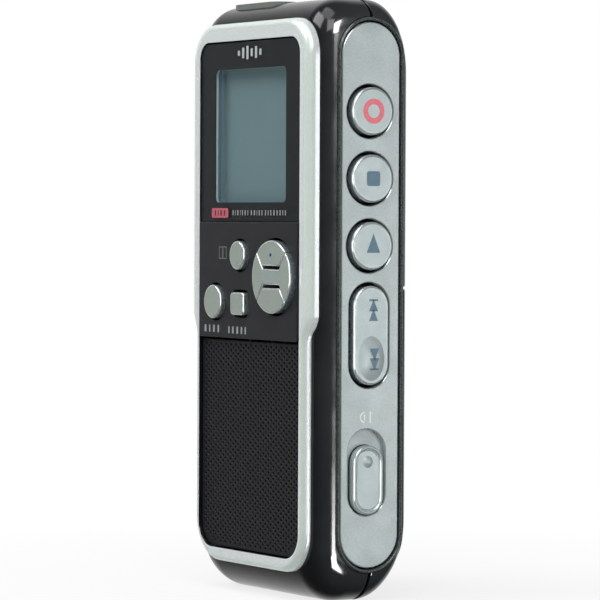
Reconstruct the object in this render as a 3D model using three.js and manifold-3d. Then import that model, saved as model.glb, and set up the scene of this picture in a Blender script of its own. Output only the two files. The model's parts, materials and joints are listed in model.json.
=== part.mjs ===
// Handheld voice recorder: a two-part case with a raised front bezel, a display, a keypad, a speaker grille
// and a side plate that carries the transport keys. Millimetres, +Z up, front towards -Y, side keys on +X.
// The origin is the centre of the bottom end, so the recorder stands on the plane Z = 0.
import * as THREE from "three";
import { mergeVertices } from "three/addons/utils/BufferGeometryUtils.js";
import Module from "manifold-3d";

// Driving dimensions.
const HEIGHT = 106.5;
const WIDTH = 43.6;
const DEPTH = 20.5; // front panel plane to back face
const WALL = 1.4;
const MIN_CORNER = 0.5;
const TINY = 1e-6;
const GAP = 0.3; // clearance between neighbouring pieces
const BEYOND = 4; // how far a cutting tool reaches out of a face
const INTO = -8; // and how far into the case
const CURVE = 3; // half the number of segments in each arc of an outline
const SMOOTH = 5; // the same for long visible arcs
const ROUND = 9; // the same for whole circles
const HALF_PI = Math.PI / 2;

// Case: sections parallel to the front, each a rectangle with round corners. Both ends bow outwards between
// the front and the back, with a flat between two depths.
const CASE = { front: 1.9, frontRound: 3.4, sideRound: 2.4, flatFrom: 9, flatTo: 13 };
const TOP_END = { corner: 5.5, frontDrop: 7, frontPower: 2.3, backDrop: 18, backPower: 2.8 };
const BOTTOM_END = { corner: 7.4, frontDrop: 7, frontPower: 1.9, backDrop: 12, backPower: 2 };
const SECTION_STEPS = 5; // sections in the front round, and again in the back round
const SEAM = { depth: 12.5, gap: 0.6, lip: 1.5, lipWall: 0.7 };
const DOOR = { depth: 19, top: 2.4, gap: 0.3 };

// Front face, measured from the middle of the panel plane: x to the right, y up, z outwards.
const BEZEL = { back: -2.3, face: 0.1, round: 1.6, top: 49.7, bottom: -48, wide: 20.5, narrow: 18.5,
  stepHigh: -2.5, stepLow: -7, topRadius: 6.6, bottomRadius: 7.2, wideRound: 1.5, narrowRound: 0.5, endRound: 1,
  steps: 4, play: 0.05 };
const PANEL = { half: 17.4, top: 46.3, bottom: -45.4, topRadius: 2.7, bottomRadius: 4.3, play: 0.2 };
const PLAIN_CORNER = 0.3; // where two panels meet
const LENS = { bottom: 14, thick: 0.25 };
const MASK = { back: -0.45, front: -0.25 };
const SCREEN = { y: 29.3, width: 24.8, height: 24, corner: 1 };
const LCD = { y: 29.15, width: 30.8, height: 27, back: -5.2, front: -0.5, wall: 0.9, floor: 0.3, corner: 0.5 };
const LCD_GLASS = { back: -3.5, front: -2.4 };
const BACKLIGHT = { back: -4.8, front: -4.5 };
const CONTROL = { bottom: -7.4, back: -1.3, face: 0.3 };
const GRILLE = { back: -1.5, face: -0.6, hole: 1.6, pitch: 4.6, margin: 3 };
const FRONT_KEY = { flange: 0.75, flangeBack: -2.4, flangeFront: -1.6, top: 1.1, edge: 0.3, play: 0.45 };
const VOLUME = { x: 9.8, y: 4.1, radius: 6.5, split: 0.55, waist: 1.4, flat: 2.9, reach: 4.7, rise: 2.5,
  top: 1.3 };
const KEYPAD = { y: 3.2, width: 32.6, height: 19.6, back: -5.6, front: -3.6, nub: -3.15, nubRadius: 1.4,
  nubStep: 4, corner: 1, play: 0.4, root: 0.5 };
const BOARD = { back: -7.2, front: -6, half: 14.5, top: 39, bottom: -6.5, corner: 0.8 };
const SPEAKER = { y: -27, radius: 14, back: -7, front: -3.6, magnetRadius: 7, magnetThick: 2, rim: 0.9,
  wall: 1.2, sheet: 0.6, throatGap: 0.3 };
const CONE = { foot: 2.3, dome: 3, rimGap: 1.5, rimBack: 0.6, rimFront: 0.3, thick: 0.4 };
const SPEAKER_WINDOW = { width: 28, height: 30, corner: 6 };
const CLOTH = { width: 27, height: 29, corner: 5.5, back: -2.6, front: -2.2 };

// Side face, measured from the widest point of the case: x to the back, y up, z outwards.
const SIDE = { x: 1.8, y: 1, width: 12, length: 95.9, thick: 1.4, ringGap: 0.3, ringWall: 0.6, keyX: 1.6 };
const RING = { back: 1.9, proud: 0.3, reach: -2.9, play: 0.15 };
const SIDE_KEY = { radius: 4.2, hole: 4.8, top: 0.9, edge: 0.6, flange: 5.3, flangeBack: -2.7,
  flangeFront: -1.8 };
const ROCKER = { y: -6, length: 17.4, width: 7.2, holeLength: 18.7, holeWidth: 8.4, top: 0.9, axis: -2.6,
  flangeBack: -2.8, flangeFront: -2.1, flange: 0.9, pinRadius: 0.6, pinLength: 9 };
// The raised oval on the rocker's lower half, as half its width at each height.
const THUMB = { drop: 4.1, sink: 0.1, stretch: 1.5,
  profile: [[0, 0], [2.8, 0], [2.3, 0.35], [1.3, 0.6], [0, 0.7]] };
const HOLD = { x: 1.2, y: -30.1, length: 15.2, width: 7.8, floor: -0.9, capLength: 12.2, capWidth: 6.2,
  sink: 0.2, edge: 0.4, top: 0.7, travel: 2.4, stem: 2.2, stemEnd: -3.6, rest: 0.1 };
const HOLD_POCKET = { rim: 0.6, depth: 0.25 };
const HOLD_BUMP = { y: 3.3, radius: 1.1, rise: 0.2, root: 0.4 };
const HOLD_SWITCH = { width: 5.4, length: 9.6, front: -2.5, gap: 0.1, slotDepth: 4, slotMiddle: 1.7 };
const SIDE_PAD = { back: -4.5, front: -3.9, nub: -3.45, nubRadius: 1.6, rockerStep: 5, sink: 0.2, width: 8.4,
  top: 39, bottom: -16, corner: 1 };
const SIDE_BOARD = { back: -5.7, front: -4.9, width: 9.4, top: 39.5, bottom: -37.5, corner: 0.5 };

// Round transport keys on the side face, from the top.
const TRANSPORT_KEYS = [
  { name: "record_button", y: 33.3 },
  { name: "stop_button", y: 21.5 },
  { name: "play_button", y: 9.7 },
];

// Small keys on the front face.
const SMALL_KEYS = [
  { name: "bookmark_button", x: -2.4, y: 7.8, width: 5.2 },
  { name: "menu_button", x: -11.1, y: -0.7, width: 6.1 },
  { name: "erase_button", x: -2.3, y: -0.9, width: 4.7, height: 4.1, corner: 0.8 },
];

// Power, sockets and fasteners.
const CELL = { radius: 5.25, length: 43.7, x: 5.55, depth: 13.55, middle: -22.2, nub: 1.9, nubLength: 0.8,
  edge: 0.4 };
const BAY = { half: 11.6, top: 2, bottom: -46.4, wall: 1, floor: 7.5, floorBack: 8.1 };
const SPRING = { radius: 2.6, wire: 0.35, length: 1.2, turns: 2, sides: 5, steps: 26 };
const TAB = { width: 7, depth: 6, thick: 0.3 };
const JACK = { x: [-11.3, -3.5], depth: 8.2, size: 4.8, length: 8, nozzle: 2.3, nozzleLength: 1,
  nozzleMiddle: 0.2, bore: 1.8, boreLength: 7.5, boreTop: 1, holePlay: 0.2 };
const JACK_PLATE = { x: -7.6, width: 16.5, depth: 6, thick: 1, proud: 0.2 };
const USB = { y: 20, depth: 8.6, width: 3.4, height: 7.6, length: 6, wall: 0.4, sink: 0.3, hole: 4 };
const USB_TONGUE = { width: 1, height: 5, length: 4, x: 1 };
const MIC = { x: 5, depth: 8.4, radius: 2.8, length: 2.7, hole: 0.7, holeLength: 8, top: -2.8 };
const SCREW = { x: 16.4, y: 43.4, head: 2, headThick: 1.3, headEdge: 0.3, headBevel: 0.4, slot: [0.5, 2.4],
  slotDepth: 1, shaft: 1.1, length: 8, bore: 2.35, clear: 1.4, backSink: 1, doorSink: 0.3 };
const POST = { radius: 3.1, bossRadius: 2.5, bossFront: 2.6, boreFront: 5, backWall: 1 };
const SKIN_OVERLAP = 0.2; // how far joined walls reach into each other
const LIP_OPENING = 1.4; // how much wider than the ring the lip is cut at the side
const GRIP = { count: 4, width: 12, depth: 1, height: 0.7, top: -6, pitch: 1.6 };

// Parts on the circuit board: size, place and how far they stand off it.
const CHIP_GAP = 0.1;
const PROCESSOR = { size: 12, thick: 1.4, x: -4, y: 31 };
const MEMORY = { width: 12, height: 16, thick: 1.1, x: -4, y: 15 };
const CRYSTAL = { width: 3.6, height: 9, thick: 2.9, x: 7.5, y: 30 };
const CAPACITOR = { radius: 2.5, length: 5.4, x: 8, y: 14 };

const wasm = await Module();
wasm.setup();

// ---------- solids ----------

function toSolid(geometry) {
  const bare = geometry.index ? geometry.toNonIndexed() : geometry.clone();
  bare.deleteAttribute("normal");
  bare.deleteAttribute("uv");
  const merged = mergeVertices(bare, 1e-4);
  const vertProperties = new Float32Array(merged.attributes.position.array);
  const triVerts = new Uint32Array(merged.index.array);
  return new wasm.Manifold(new wasm.Mesh({ numProp: 3, vertProperties, triVerts }));
}

function toGeometry(solid) {
  const mesh = solid.getMesh();
  const geometry = new THREE.BufferGeometry();
  geometry.setAttribute("position", new THREE.BufferAttribute(new Float32Array(mesh.vertProperties), 3));
  geometry.setIndex(new THREE.BufferAttribute(new Uint32Array(mesh.triVerts), 1));
  const flat = geometry.toNonIndexed();
  flat.computeVertexNormals();
  return flat;
}

function cut(base, ...tools) {
  return toGeometry(tools.reduce((solid, tool) => solid.subtract(toSolid(tool)), toSolid(base)));
}

function join(...pieces) {
  return toGeometry(pieces.slice(1).reduce((solid, piece) => solid.add(toSolid(piece)), toSolid(pieces[0])));
}

function common(first, second) {
  return toGeometry(toSolid(first).intersect(toSolid(second)));
}

// ---------- outlines ----------

// A rectangle with one radius for the top corners and one for the bottom corners.
function roundedRect(width, height, topRadius, bottomRadius = topRadius, x = 0, y = 0) {
  const right = x + width / 2;
  const left = x - width / 2;
  const top = y + height / 2;
  const bottom = y - height / 2;
  const shape = new THREE.Shape();
  shape.moveTo(left + bottomRadius, bottom);
  shape.lineTo(right - bottomRadius, bottom);
  shape.absarc(right - bottomRadius, bottom + bottomRadius, bottomRadius, -HALF_PI, 0, false);
  shape.lineTo(right, top - topRadius);
  shape.absarc(right - topRadius, top - topRadius, topRadius, 0, HALF_PI, false);
  shape.lineTo(left + topRadius, top);
  shape.absarc(left + topRadius, top - topRadius, topRadius, HALF_PI, Math.PI, false);
  shape.lineTo(left, bottom + bottomRadius);
  shape.absarc(left + bottomRadius, bottom + bottomRadius, bottomRadius, Math.PI, Math.PI + HALF_PI, false);
  return shape;
}

// A slot shape with half-round ends, upright when it is taller than wide.
function stadium(width, height, x = 0, y = 0) {
  const radius = Math.min(width, height) / 2;
  const dx = width / 2 - radius;
  const dy = height / 2 - radius;
  const start = dy > 0 ? 0 : -HALF_PI;
  const shape = new THREE.Shape();
  shape.absarc(x + dx, y + dy, radius, start, start + Math.PI, false);
  shape.absarc(x - dx, y - dy, radius, start + Math.PI, start + 2 * Math.PI, false);
  return shape;
}

function disc(radius, x = 0, y = 0) {
  const shape = new THREE.Shape();
  shape.absarc(x, y, radius, 0, 2 * Math.PI, false);
  return shape;
}

function polygon(points) {
  return new THREE.Shape(points.map(([x, y]) => new THREE.Vector2(x, y)));
}

// ---------- basic forms ----------

// The outline filled from z = back to z = front, with both rims rounded by edge.
function plate(shape, back, front, edge = 0, curveSegments = CURVE) {
  const geometry = new THREE.ExtrudeGeometry(shape, {
    depth: front - back - 2 * edge,
    bevelEnabled: edge > 0,
    bevelThickness: edge,
    bevelSize: edge,
    bevelOffset: -edge,
    bevelSegments: 2,
    curveSegments,
  });
  return geometry.translate(0, 0, back + edge);
}

function block(width, depth, height, x = 0, y = 0, z = 0) {
  return new THREE.BoxGeometry(width, depth, height).translate(x, y, z);
}

function rod(radius, length, segments = 16) {
  return new THREE.CylinderGeometry(radius, radius, length, segments).rotateX(HALF_PI);
}

// ---------- faces of the recorder ----------

function face(x, y, z, turnX, turnY) {
  const group = new THREE.Group();
  group.position.set(x, y, z);
  group.rotation.set(turnX, turnY, 0);
  group.updateMatrixWorld(true);
  return group;
}

const recorder = new THREE.Group();
const frontFace = face(0, -DEPTH / 2, HEIGHT / 2, HALF_PI, 0);
const sideFace = face(WIDTH / 2, 0, HEIGHT / 2, HALF_PI, HALF_PI);
const backFace = face(0, DEPTH / 2, HEIGHT / 2, HALF_PI, Math.PI);
const topFace = face(0, 0, HEIGHT, 0, 0);
recorder.add(frontFace, sideFace, backFace, topFace);

// A shape drawn on a face, moved to the recorder's own axes.
function onFace(group, geometry) {
  return geometry.applyMatrix4(group.matrixWorld);
}

// The reverse: a shape in the recorder's axes, as seen from a face.
function offFace(group, geometry) {
  return geometry.applyMatrix4(group.matrixWorld.clone().invert());
}

// Distance behind the panel plane to the recorder's Y.
function atDepth(depth) {
  return depth - DEPTH / 2;
}

function material(color, roughness, metalness = 0) {
  return new THREE.MeshStandardMaterial({ color, roughness, metalness });
}

function addPiece(group, name, geometry, surface, x = 0, y = 0, z = 0) {
  const mesh = new THREE.Mesh(geometry, surface);
  mesh.name = name;
  mesh.position.set(x, y, z);
  group.add(mesh);
  return mesh;
}

const blackGloss = () => material(0x141516, 0.12);
const panelBlack = () => material(0x333538, 0.35);
const bezelSilver = () => material(0xc5d1cb, 0.3, 0.6);
const plateSilver = () => material(0xb4c3c3, 0.38, 0.7);
const frontKeySilver = () => material(0x8c968e, 0.32, 0.6);
const sideKeySilver = () => material(0xbec3c3, 0.34, 0.6);
const rubber = () => material(0x3a3c3e, 0.8);
const steel = () => material(0xb8bab8, 0.3, 0.9);
const boardGreen = () => material(0x1f5a35, 0.5);
const chipBlack = () => material(0x1b1b1d, 0.6);

// ---------- case ----------

// How far a rounded edge has fallen away, from 0 at its start to 1 at its end. Power 2 is an ellipse.
function falloff(fraction, power) {
  const t = Math.min(1, Math.max(0, fraction));
  return 1 - (1 - t ** power) ** (1 / power);
}

// Height of one end of the case above the middle at a distance behind the panel plane.
function endHeight(end, depth) {
  const toFront = (CASE.flatFrom - depth) / (CASE.flatFrom - CASE.front);
  const toBack = (depth - CASE.flatTo) / (DEPTH - CASE.flatTo);
  const frontDrop = end.frontDrop * falloff(toFront, end.frontPower);
  const backDrop = end.backDrop * falloff(toBack, end.backPower);
  return HEIGHT / 2 - frontDrop - backDrop;
}

function caseSection(depth, inset) {
  const frontEdge = CASE.frontRound * falloff(1 - (depth - CASE.front) / CASE.frontRound, 2);
  const backEdge = CASE.sideRound * falloff(1 - (DEPTH - depth) / CASE.sideRound, 2);
  const shrink = frontEdge + backEdge + inset;
  const top = endHeight(TOP_END, depth) - inset;
  const bottom = endHeight(BOTTOM_END, depth) - inset;
  const radii = [TOP_END.corner, BOTTOM_END.corner].map((corner) => Math.max(MIN_CORNER, corner - shrink));
  return roundedRect(WIDTH - 2 * shrink, top + bottom, ...radii, 0, (top - bottom) / 2);
}

// The points of an outline without repeated ones.
function ring(shape, curveSegments) {
  const points = shape.getPoints(curveSegments);
  return points.filter((point, i) => point.distanceTo(points[(i + 1) % points.length]) > TINY);
}

// Closes a stack of outlines, each given as a shape and its height, into one solid.
function loft(layers, curveSegments) {
  const rings = layers.map(([shape, z]) => ring(shape, curveSegments).map((point) => [point.x, point.y, z]));
  const count = rings[0].length;
  const index = [];
  for (let layer = 1; layer < rings.length; layer++) {
    for (let i = 0; i < count; i++) {
      const low = (layer - 1) * count;
      const next = (i + 1) % count;
      index.push(low + i, low + next, low + count + next, low + i, low + count + next, low + count + i);
    }
  }
  const last = (rings.length - 1) * count;
  for (let i = 1; i < count - 1; i++) {
    index.push(0, i + 1, i, last, last + i, last + i + 1);
  }
  const geometry = new THREE.BufferGeometry();
  geometry.setAttribute("position", new THREE.Float32BufferAttribute(rings.flat(2), 3));
  return geometry.setIndex(index);
}

// The outside of the case, moved inwards by inset.
function caseSolid(inset) {
  const depths = [];
  for (let step = 0; step <= SECTION_STEPS; step++) {
    const angle = (HALF_PI * step) / SECTION_STEPS;
    depths.push(CASE.front + (CASE.flatFrom - CASE.front) * (1 - Math.cos(angle)));
    depths.push(CASE.flatTo + (DEPTH - CASE.flatTo) * Math.sin(angle));
  }
  depths.sort((a, b) => b - a);
  const squeeze = 1 - (2 * inset) / (DEPTH - CASE.front);
  const layers = depths.map((depth) => {
    const moved = CASE.front + inset + (depth - CASE.front) * squeeze;
    return [caseSection(depth, inset), -moved];
  });
  return onFace(frontFace, loft(layers, CURVE));
}

// Everything between two distances behind the panel plane.
function layer(from, to) {
  return block(2 * WIDTH, to - from, 2 * HEIGHT, 0, atDepth((from + to) / 2), HEIGHT / 2);
}

const sideRingOutline = (grow) =>
  stadium(
    SIDE.width + 2 * (SIDE.ringGap + SIDE.ringWall + grow),
    SIDE.length + 2 * (SIDE.ringGap + SIDE.ringWall + grow),
    SIDE.x,
    SIDE.y,
  );

function caseOpenings() {
  const { width, height, corner } = SPEAKER_WINDOW;
  const usbWidth = USB.width + 2 * GAP;
  const usbHeight = USB.height + 2 * GAP;
  const usbHole = block(USB.hole, usbWidth, usbHeight, -WIDTH / 2, atDepth(USB.depth), HEIGHT / 2 + USB.y);
  return [
    onFace(frontFace, plate(lcdOutline(GAP), INTO, 0, 0, 1)),
    onFace(frontFace, plate(keypadOutline(KEYPAD.play), INTO, 0, 0, 1)),
    onFace(frontFace, plate(roundedRect(width, height, corner, corner, 0, SPEAKER.y), INTO, 0, 0, 2)),
    onFace(sideFace, plate(sideRingOutline(RING.play), INTO, BEYOND, 0, SMOOTH)),
    onFace(topFace, plate(jackPlateOutline(RING.play), -BEYOND, BEYOND, 0, SMOOTH)),
    rod(MIC.hole, MIC.holeLength).translate(MIC.x, atDepth(MIC.depth), HEIGHT),
    usbHole,
  ];
}

function lcdOutline(grow) {
  const width = LCD.width + 2 * grow;
  const height = LCD.height + 2 * grow;
  return roundedRect(width, height, LCD.corner, LCD.corner, 0, LCD.y);
}

function keypadOutline(grow) {
  const { width, height, corner, y } = KEYPAD;
  return roundedRect(width + 2 * grow, height + 2 * grow, corner, corner, 0, y);
}

function jackPlateOutline(grow) {
  const height = JACK_PLATE.depth + 2 * grow;
  return stadium(JACK_PLATE.width + 2 * grow, height, JACK_PLATE.x, atDepth(JACK.depth));
}

const SCREW_PLACES = [[-1, 1], [1, 1], [-1, -1], [1, -1]].map(([sx, sy]) => [sx * SCREW.x, sy * SCREW.y]);

function column(radius, from, to, x, y, segments = 14) {
  const length = to - from;
  return new THREE.CylinderGeometry(radius, radius, length, segments)
    .translate(x, atDepth((from + to) / 2), HEIGHT / 2 + y);
}

function frontShell() {
  const hollow = cut(caseSolid(0), caseSolid(WALL), layer(SEAM.depth - SEAM.gap / 2, 3 * DEPTH));
  const seam = SEAM.depth - SEAM.gap / 2;
  const bosses = SCREW_PLACES.map(([x, y]) => column(POST.bossRadius, POST.bossFront, seam, x, y));
  const bores = SCREW_PLACES.map(([x, y]) => column(SCREW.clear, POST.boreFront, SEAM.depth + 1, x, y));
  return cut(join(hollow, ...bosses), ...bores, ...caseOpenings());
}

function rearLip() {
  const near = SEAM.depth + SEAM.gap / 2;
  const inside = caseSolid(WALL + GAP + SEAM.lipWall);
  const wall = cut(caseSolid(WALL + GAP), inside);
  const tongue = common(wall, layer(near - SEAM.gap - SEAM.lip, near + SKIN_OVERLAP));
  const root = common(cut(caseSolid(WALL - SKIN_OVERLAP), inside), layer(near, near + 1));
  return cut(join(tongue, root), onFace(sideFace, plate(sideRingOutline(LIP_OPENING), INTO, BEYOND)));
}

function batteryBay(grow, from, to) {
  const height = BAY.top - BAY.bottom + 2 * grow;
  const middle = HEIGHT / 2 + (BAY.top + BAY.bottom) / 2;
  return block(2 * (BAY.half + grow), to - from, height, 0, atDepth((from + to) / 2), middle);
}

function doorZone(grow) {
  const top = HEIGHT / 2 + DOOR.top + grow;
  return block(2 * WIDTH, DEPTH, 2 * HEIGHT, 0, atDepth(DOOR.depth - grow) + DEPTH / 2, top - HEIGHT);
}

function rearShell() {
  const near = SEAM.depth + SEAM.gap / 2;
  const hollow = cut(caseSolid(0), caseSolid(WALL), layer(-DEPTH, near));
  const shelf = common(caseSolid(SKIN_OVERLAP), doorZone(WALL));
  const bay = common(batteryBay(BAY.wall, BAY.floor, DEPTH), caseSolid(SKIN_OVERLAP));
  const posts = SCREW_PLACES.map(([x, y]) => column(POST.radius, near, DEPTH - POST.backWall, x, y));
  const body = join(hollow, rearLip(), shelf, bay, ...posts);
  const headSeats = SCREW_PLACES.map(([x, y]) => {
    return column(SCREW.bore, screwHead(y) - SCREW.headThick - GAP, 2 * DEPTH, x, y);
  });
  const holes = SCREW_PLACES.map(([x, y]) => column(SCREW.clear, near - 1, DEPTH, x, y));
  const sideHole = onFace(sideFace, plate(sideRingOutline(RING.play), INTO, BEYOND, 0, SMOOTH));
  return cut(body, doorZone(0), batteryBay(0, BAY.floorBack, 2 * DEPTH), sideHole, ...headSeats, ...holes);
}

// Depth of a screw head's outer face: the lower screws sit under the battery door.
function screwHead(y) {
  return y > 0 ? DEPTH - SCREW.backSink : DOOR.depth - SCREW.doorSink;
}

function batteryDoor() {
  const skin = common(cut(caseSolid(0), layer(-DEPTH, DOOR.depth + DOOR.gap)), doorZone(-DOOR.gap));
  const { count, width, depth, height, top, pitch } = GRIP;
  const grips = [];
  for (let row = 0; row < count; row++) {
    grips.push(block(width, depth, height, 0, DEPTH / 2, HEIGHT / 2 + top - pitch * row));
  }
  return cut(skin, ...grips);
}

// ---------- front face ----------

// Outline of the bezel after part of its rounded edge: 0 is the foot of the edge, 1 is the face.
function bezelOutline(part) {
  const { stepHigh, stepLow, topRadius, bottomRadius } = BEZEL;
  const top = BEZEL.top - BEZEL.endRound * part;
  const bottom = BEZEL.bottom + BEZEL.endRound * part;
  const wide = BEZEL.wide - BEZEL.wideRound * part;
  const narrow = BEZEL.narrow - BEZEL.narrowRound * part;
  const middle = (stepHigh + stepLow) / 2;
  const shape = new THREE.Shape();
  shape.moveTo(-narrow + bottomRadius, bottom);
  shape.lineTo(narrow - bottomRadius, bottom);
  shape.absarc(narrow - bottomRadius, bottom + bottomRadius, bottomRadius, -HALF_PI, 0, false);
  shape.lineTo(narrow, stepLow);
  shape.bezierCurveTo(narrow, middle, wide, middle, wide, stepHigh);
  shape.lineTo(wide, top - topRadius);
  shape.absarc(wide - topRadius, top - topRadius, topRadius, 0, HALF_PI, false);
  shape.lineTo(-wide + topRadius, top);
  shape.absarc(-wide + topRadius, top - topRadius, topRadius, HALF_PI, Math.PI, false);
  shape.lineTo(-wide, stepHigh);
  shape.bezierCurveTo(-wide, middle, -narrow, middle, -narrow, stepLow);
  shape.lineTo(-narrow, bottom + bottomRadius);
  shape.absarc(-narrow + bottomRadius, bottom + bottomRadius, bottomRadius, Math.PI, Math.PI + HALF_PI, false);
  return shape;
}

// The opening inside the bezel between two heights, less the play on each side.
function panelOutline(bottom, top, play) {
  const topRadius = top === PANEL.top ? PANEL.topRadius : PLAIN_CORNER;
  const bottomRadius = bottom === PANEL.bottom ? PANEL.bottomRadius : PLAIN_CORNER;
  const height = top - bottom - 2 * play;
  return roundedRect(2 * (PANEL.half - play), height, topRadius, bottomRadius, 0, (top + bottom) / 2);
}

function screenOutline() {
  const { y, width, height, corner } = SCREEN;
  return roundedRect(width, height, corner, corner, 0, y);
}

function frontBezel() {
  const opening = plate(panelOutline(PANEL.bottom, PANEL.top, 0), -BEYOND, BEYOND);
  const layers = [[bezelOutline(0), BEZEL.back]];
  for (let step = 0; step <= BEZEL.steps; step++) {
    const angle = (HALF_PI * step) / BEZEL.steps;
    layers.push([bezelOutline(1 - Math.cos(angle)), BEZEL.face - BEZEL.round * (1 - Math.sin(angle))]);
  }
  return cut(loft(layers, SMOOTH), opening, offFace(frontFace, caseSolid(-BEZEL.play)));
}

function controlPanel() {
  const outline = panelOutline(CONTROL.bottom, LENS.bottom, PANEL.play);
  outline.holes = [
    ...SMALL_KEYS.map((key) => keyOutline(key, FRONT_KEY.play)),
    disc(VOLUME.radius + FRONT_KEY.play, VOLUME.x, VOLUME.y),
  ];
  return plate(outline, CONTROL.back, CONTROL.face, 0, ROUND);
}

// A round key has no stated corner.
function keyOutline(key, grow) {
  if (!key.corner) return disc(key.width / 2 + grow, key.x, key.y);
  const corner = key.corner + grow;
  return roundedRect(key.width + 2 * grow, key.height + 2 * grow, corner, corner, key.x, key.y);
}

function speakerGrille() {
  const outline = panelOutline(PANEL.bottom, CONTROL.bottom, PANEL.play);
  const half = PANEL.half - GRILLE.margin;
  const columns = Math.floor((2 * half) / GRILLE.pitch);
  const rows = Math.floor((CONTROL.bottom - PANEL.bottom - 2 * GRILLE.margin) / GRILLE.pitch);
  const middle = (PANEL.bottom + CONTROL.bottom) / 2;
  for (let row = 0; row <= rows; row++) {
    for (let column = 0; column <= columns; column++) {
      const x = (column - columns / 2) * GRILLE.pitch;
      const y = middle + (row - rows / 2) * GRILLE.pitch;
      const side = GRILLE.hole / 2;
      outline.holes.push(polygon([[x, y - side], [x + side, y], [x, y + side], [x - side, y]]));
    }
  }
  return plate(outline, GRILLE.back, GRILLE.face);
}

function smallKey(key) {
  const centred = { ...key, x: 0, y: 0 };
  const segments = key.corner ? CURVE : ROUND;
  const cap = plate(keyOutline(centred, 0), FRONT_KEY.flangeBack, FRONT_KEY.top, FRONT_KEY.edge, segments);
  const { flange, flangeBack, flangeFront } = FRONT_KEY;
  return join(cap, plate(keyOutline(centred, flange), flangeBack, flangeFront, 0, segments));
}

// Outline of the upper volume key: a wedge that widens from the waist to the rim.
function volumeWedge(sign) {
  const { waist, split, flat, reach, rise } = VOLUME;
  const base = waist + split;
  const slope = (reach - flat) / rise;
  const high = 2 * VOLUME.radius;
  const wide = flat + slope * (high - base);
  const points = [[-flat, base], [flat, base], [wide, high], [-wide, high]];
  return polygon(points.map(([x, y]) => [x * sign, y * sign]));
}

function volumeKey(sign) {
  const cap = plate(disc(VOLUME.radius), FRONT_KEY.flangeBack, VOLUME.top, FRONT_KEY.edge, 2 * ROUND);
  return common(cap, plate(volumeWedge(sign), -BEYOND, BEYOND));
}

function centerKey() {
  const cap = plate(disc(VOLUME.radius), FRONT_KEY.flangeBack, VOLUME.top, FRONT_KEY.edge, 2 * ROUND);
  const grown = [1, -1].map((sign) => {
    const wedge = plate(volumeWedge(sign), -BEYOND, BEYOND);
    return wedge.scale(1 + VOLUME.split / VOLUME.flat, 1, 1).translate(0, -sign * VOLUME.split, 0);
  });
  return cut(cap, ...grown);
}

function frontKeypad() {
  const base = plate(keypadOutline(0), KEYPAD.back, KEYPAD.front, 0, 1);
  const places = [
    ...SMALL_KEYS.map((key) => [key.x, key.y]),
    [VOLUME.x, VOLUME.y + KEYPAD.nubStep],
    [VOLUME.x, VOLUME.y],
    [VOLUME.x, VOLUME.y - KEYPAD.nubStep],
  ];
  const { nubRadius, nub, front, root } = KEYPAD;
  return join(base, ...places.map(([x, y]) => plate(disc(nubRadius, x, y), front - root, nub, 0, SMOOTH)));
}

function lcdFrame() {
  const pocket = plate(lcdOutline(-LCD.wall), LCD.back + LCD.floor, 0, 0, 1);
  return cut(plate(lcdOutline(0), LCD.back, LCD.front, 0, 1), pocket);
}

// A layer of the display, held inside the frame.
function lcdLayer({ back, front }) {
  return plate(lcdOutline(-LCD.wall - GAP), back, front, 0, 1);
}

function addFront() {
  addPiece(frontFace, "front_bezel", frontBezel(), bezelSilver());
  addPiece(frontFace, "display_lens", plate(panelOutline(LENS.bottom, PANEL.top, PANEL.play), -LENS.thick, 0),
    material(0x22262a, 0.05));
  const mask = panelOutline(LENS.bottom, PANEL.top, PANEL.play);
  mask.holes = [screenOutline()];
  addPiece(frontFace, "lens_mask", plate(mask, MASK.back, MASK.front), panelBlack());
  addPiece(frontFace, "lcd_frame", lcdFrame(), material(0xe8e8e4, 0.5));
  addPiece(frontFace, "lcd_glass", lcdLayer(LCD_GLASS), material(0x6a7e84, 0.2));
  addPiece(frontFace, "backlight_plate", lcdLayer(BACKLIGHT), material(0xf0f0ea, 0.4));
  addPiece(frontFace, "control_panel", controlPanel(), panelBlack());
  addPiece(frontFace, "speaker_grille", speakerGrille(), material(0x34363a, 0.5));
  const cloth = plate(roundedRect(CLOTH.width, CLOTH.height, CLOTH.corner), CLOTH.back, CLOTH.front, 0, 2);
  addPiece(frontFace, "dust_cloth", cloth, material(0x161617, 0.9), 0, SPEAKER.y);
  for (const key of SMALL_KEYS) {
    addPiece(frontFace, key.name, smallKey(key), frontKeySilver(), key.x, key.y);
  }
  addPiece(frontFace, "volume_up_key", volumeKey(1), frontKeySilver(), VOLUME.x, VOLUME.y);
  addPiece(frontFace, "center_key", centerKey(), frontKeySilver(), VOLUME.x, VOLUME.y);
  addPiece(frontFace, "volume_down_key", volumeKey(-1), frontKeySilver(), VOLUME.x, VOLUME.y);
  addPiece(frontFace, "front_keypad", frontKeypad(), rubber());
}

// ---------- loudspeaker ----------

// A solid of revolution about the face's outward axis, from [radius, height] pairs.
function turned(profile, segments = 20) {
  const points = profile.map(([radius, height]) => new THREE.Vector2(radius, height));
  return new THREE.LatheGeometry(points, segments).rotateX(HALF_PI);
}

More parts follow.
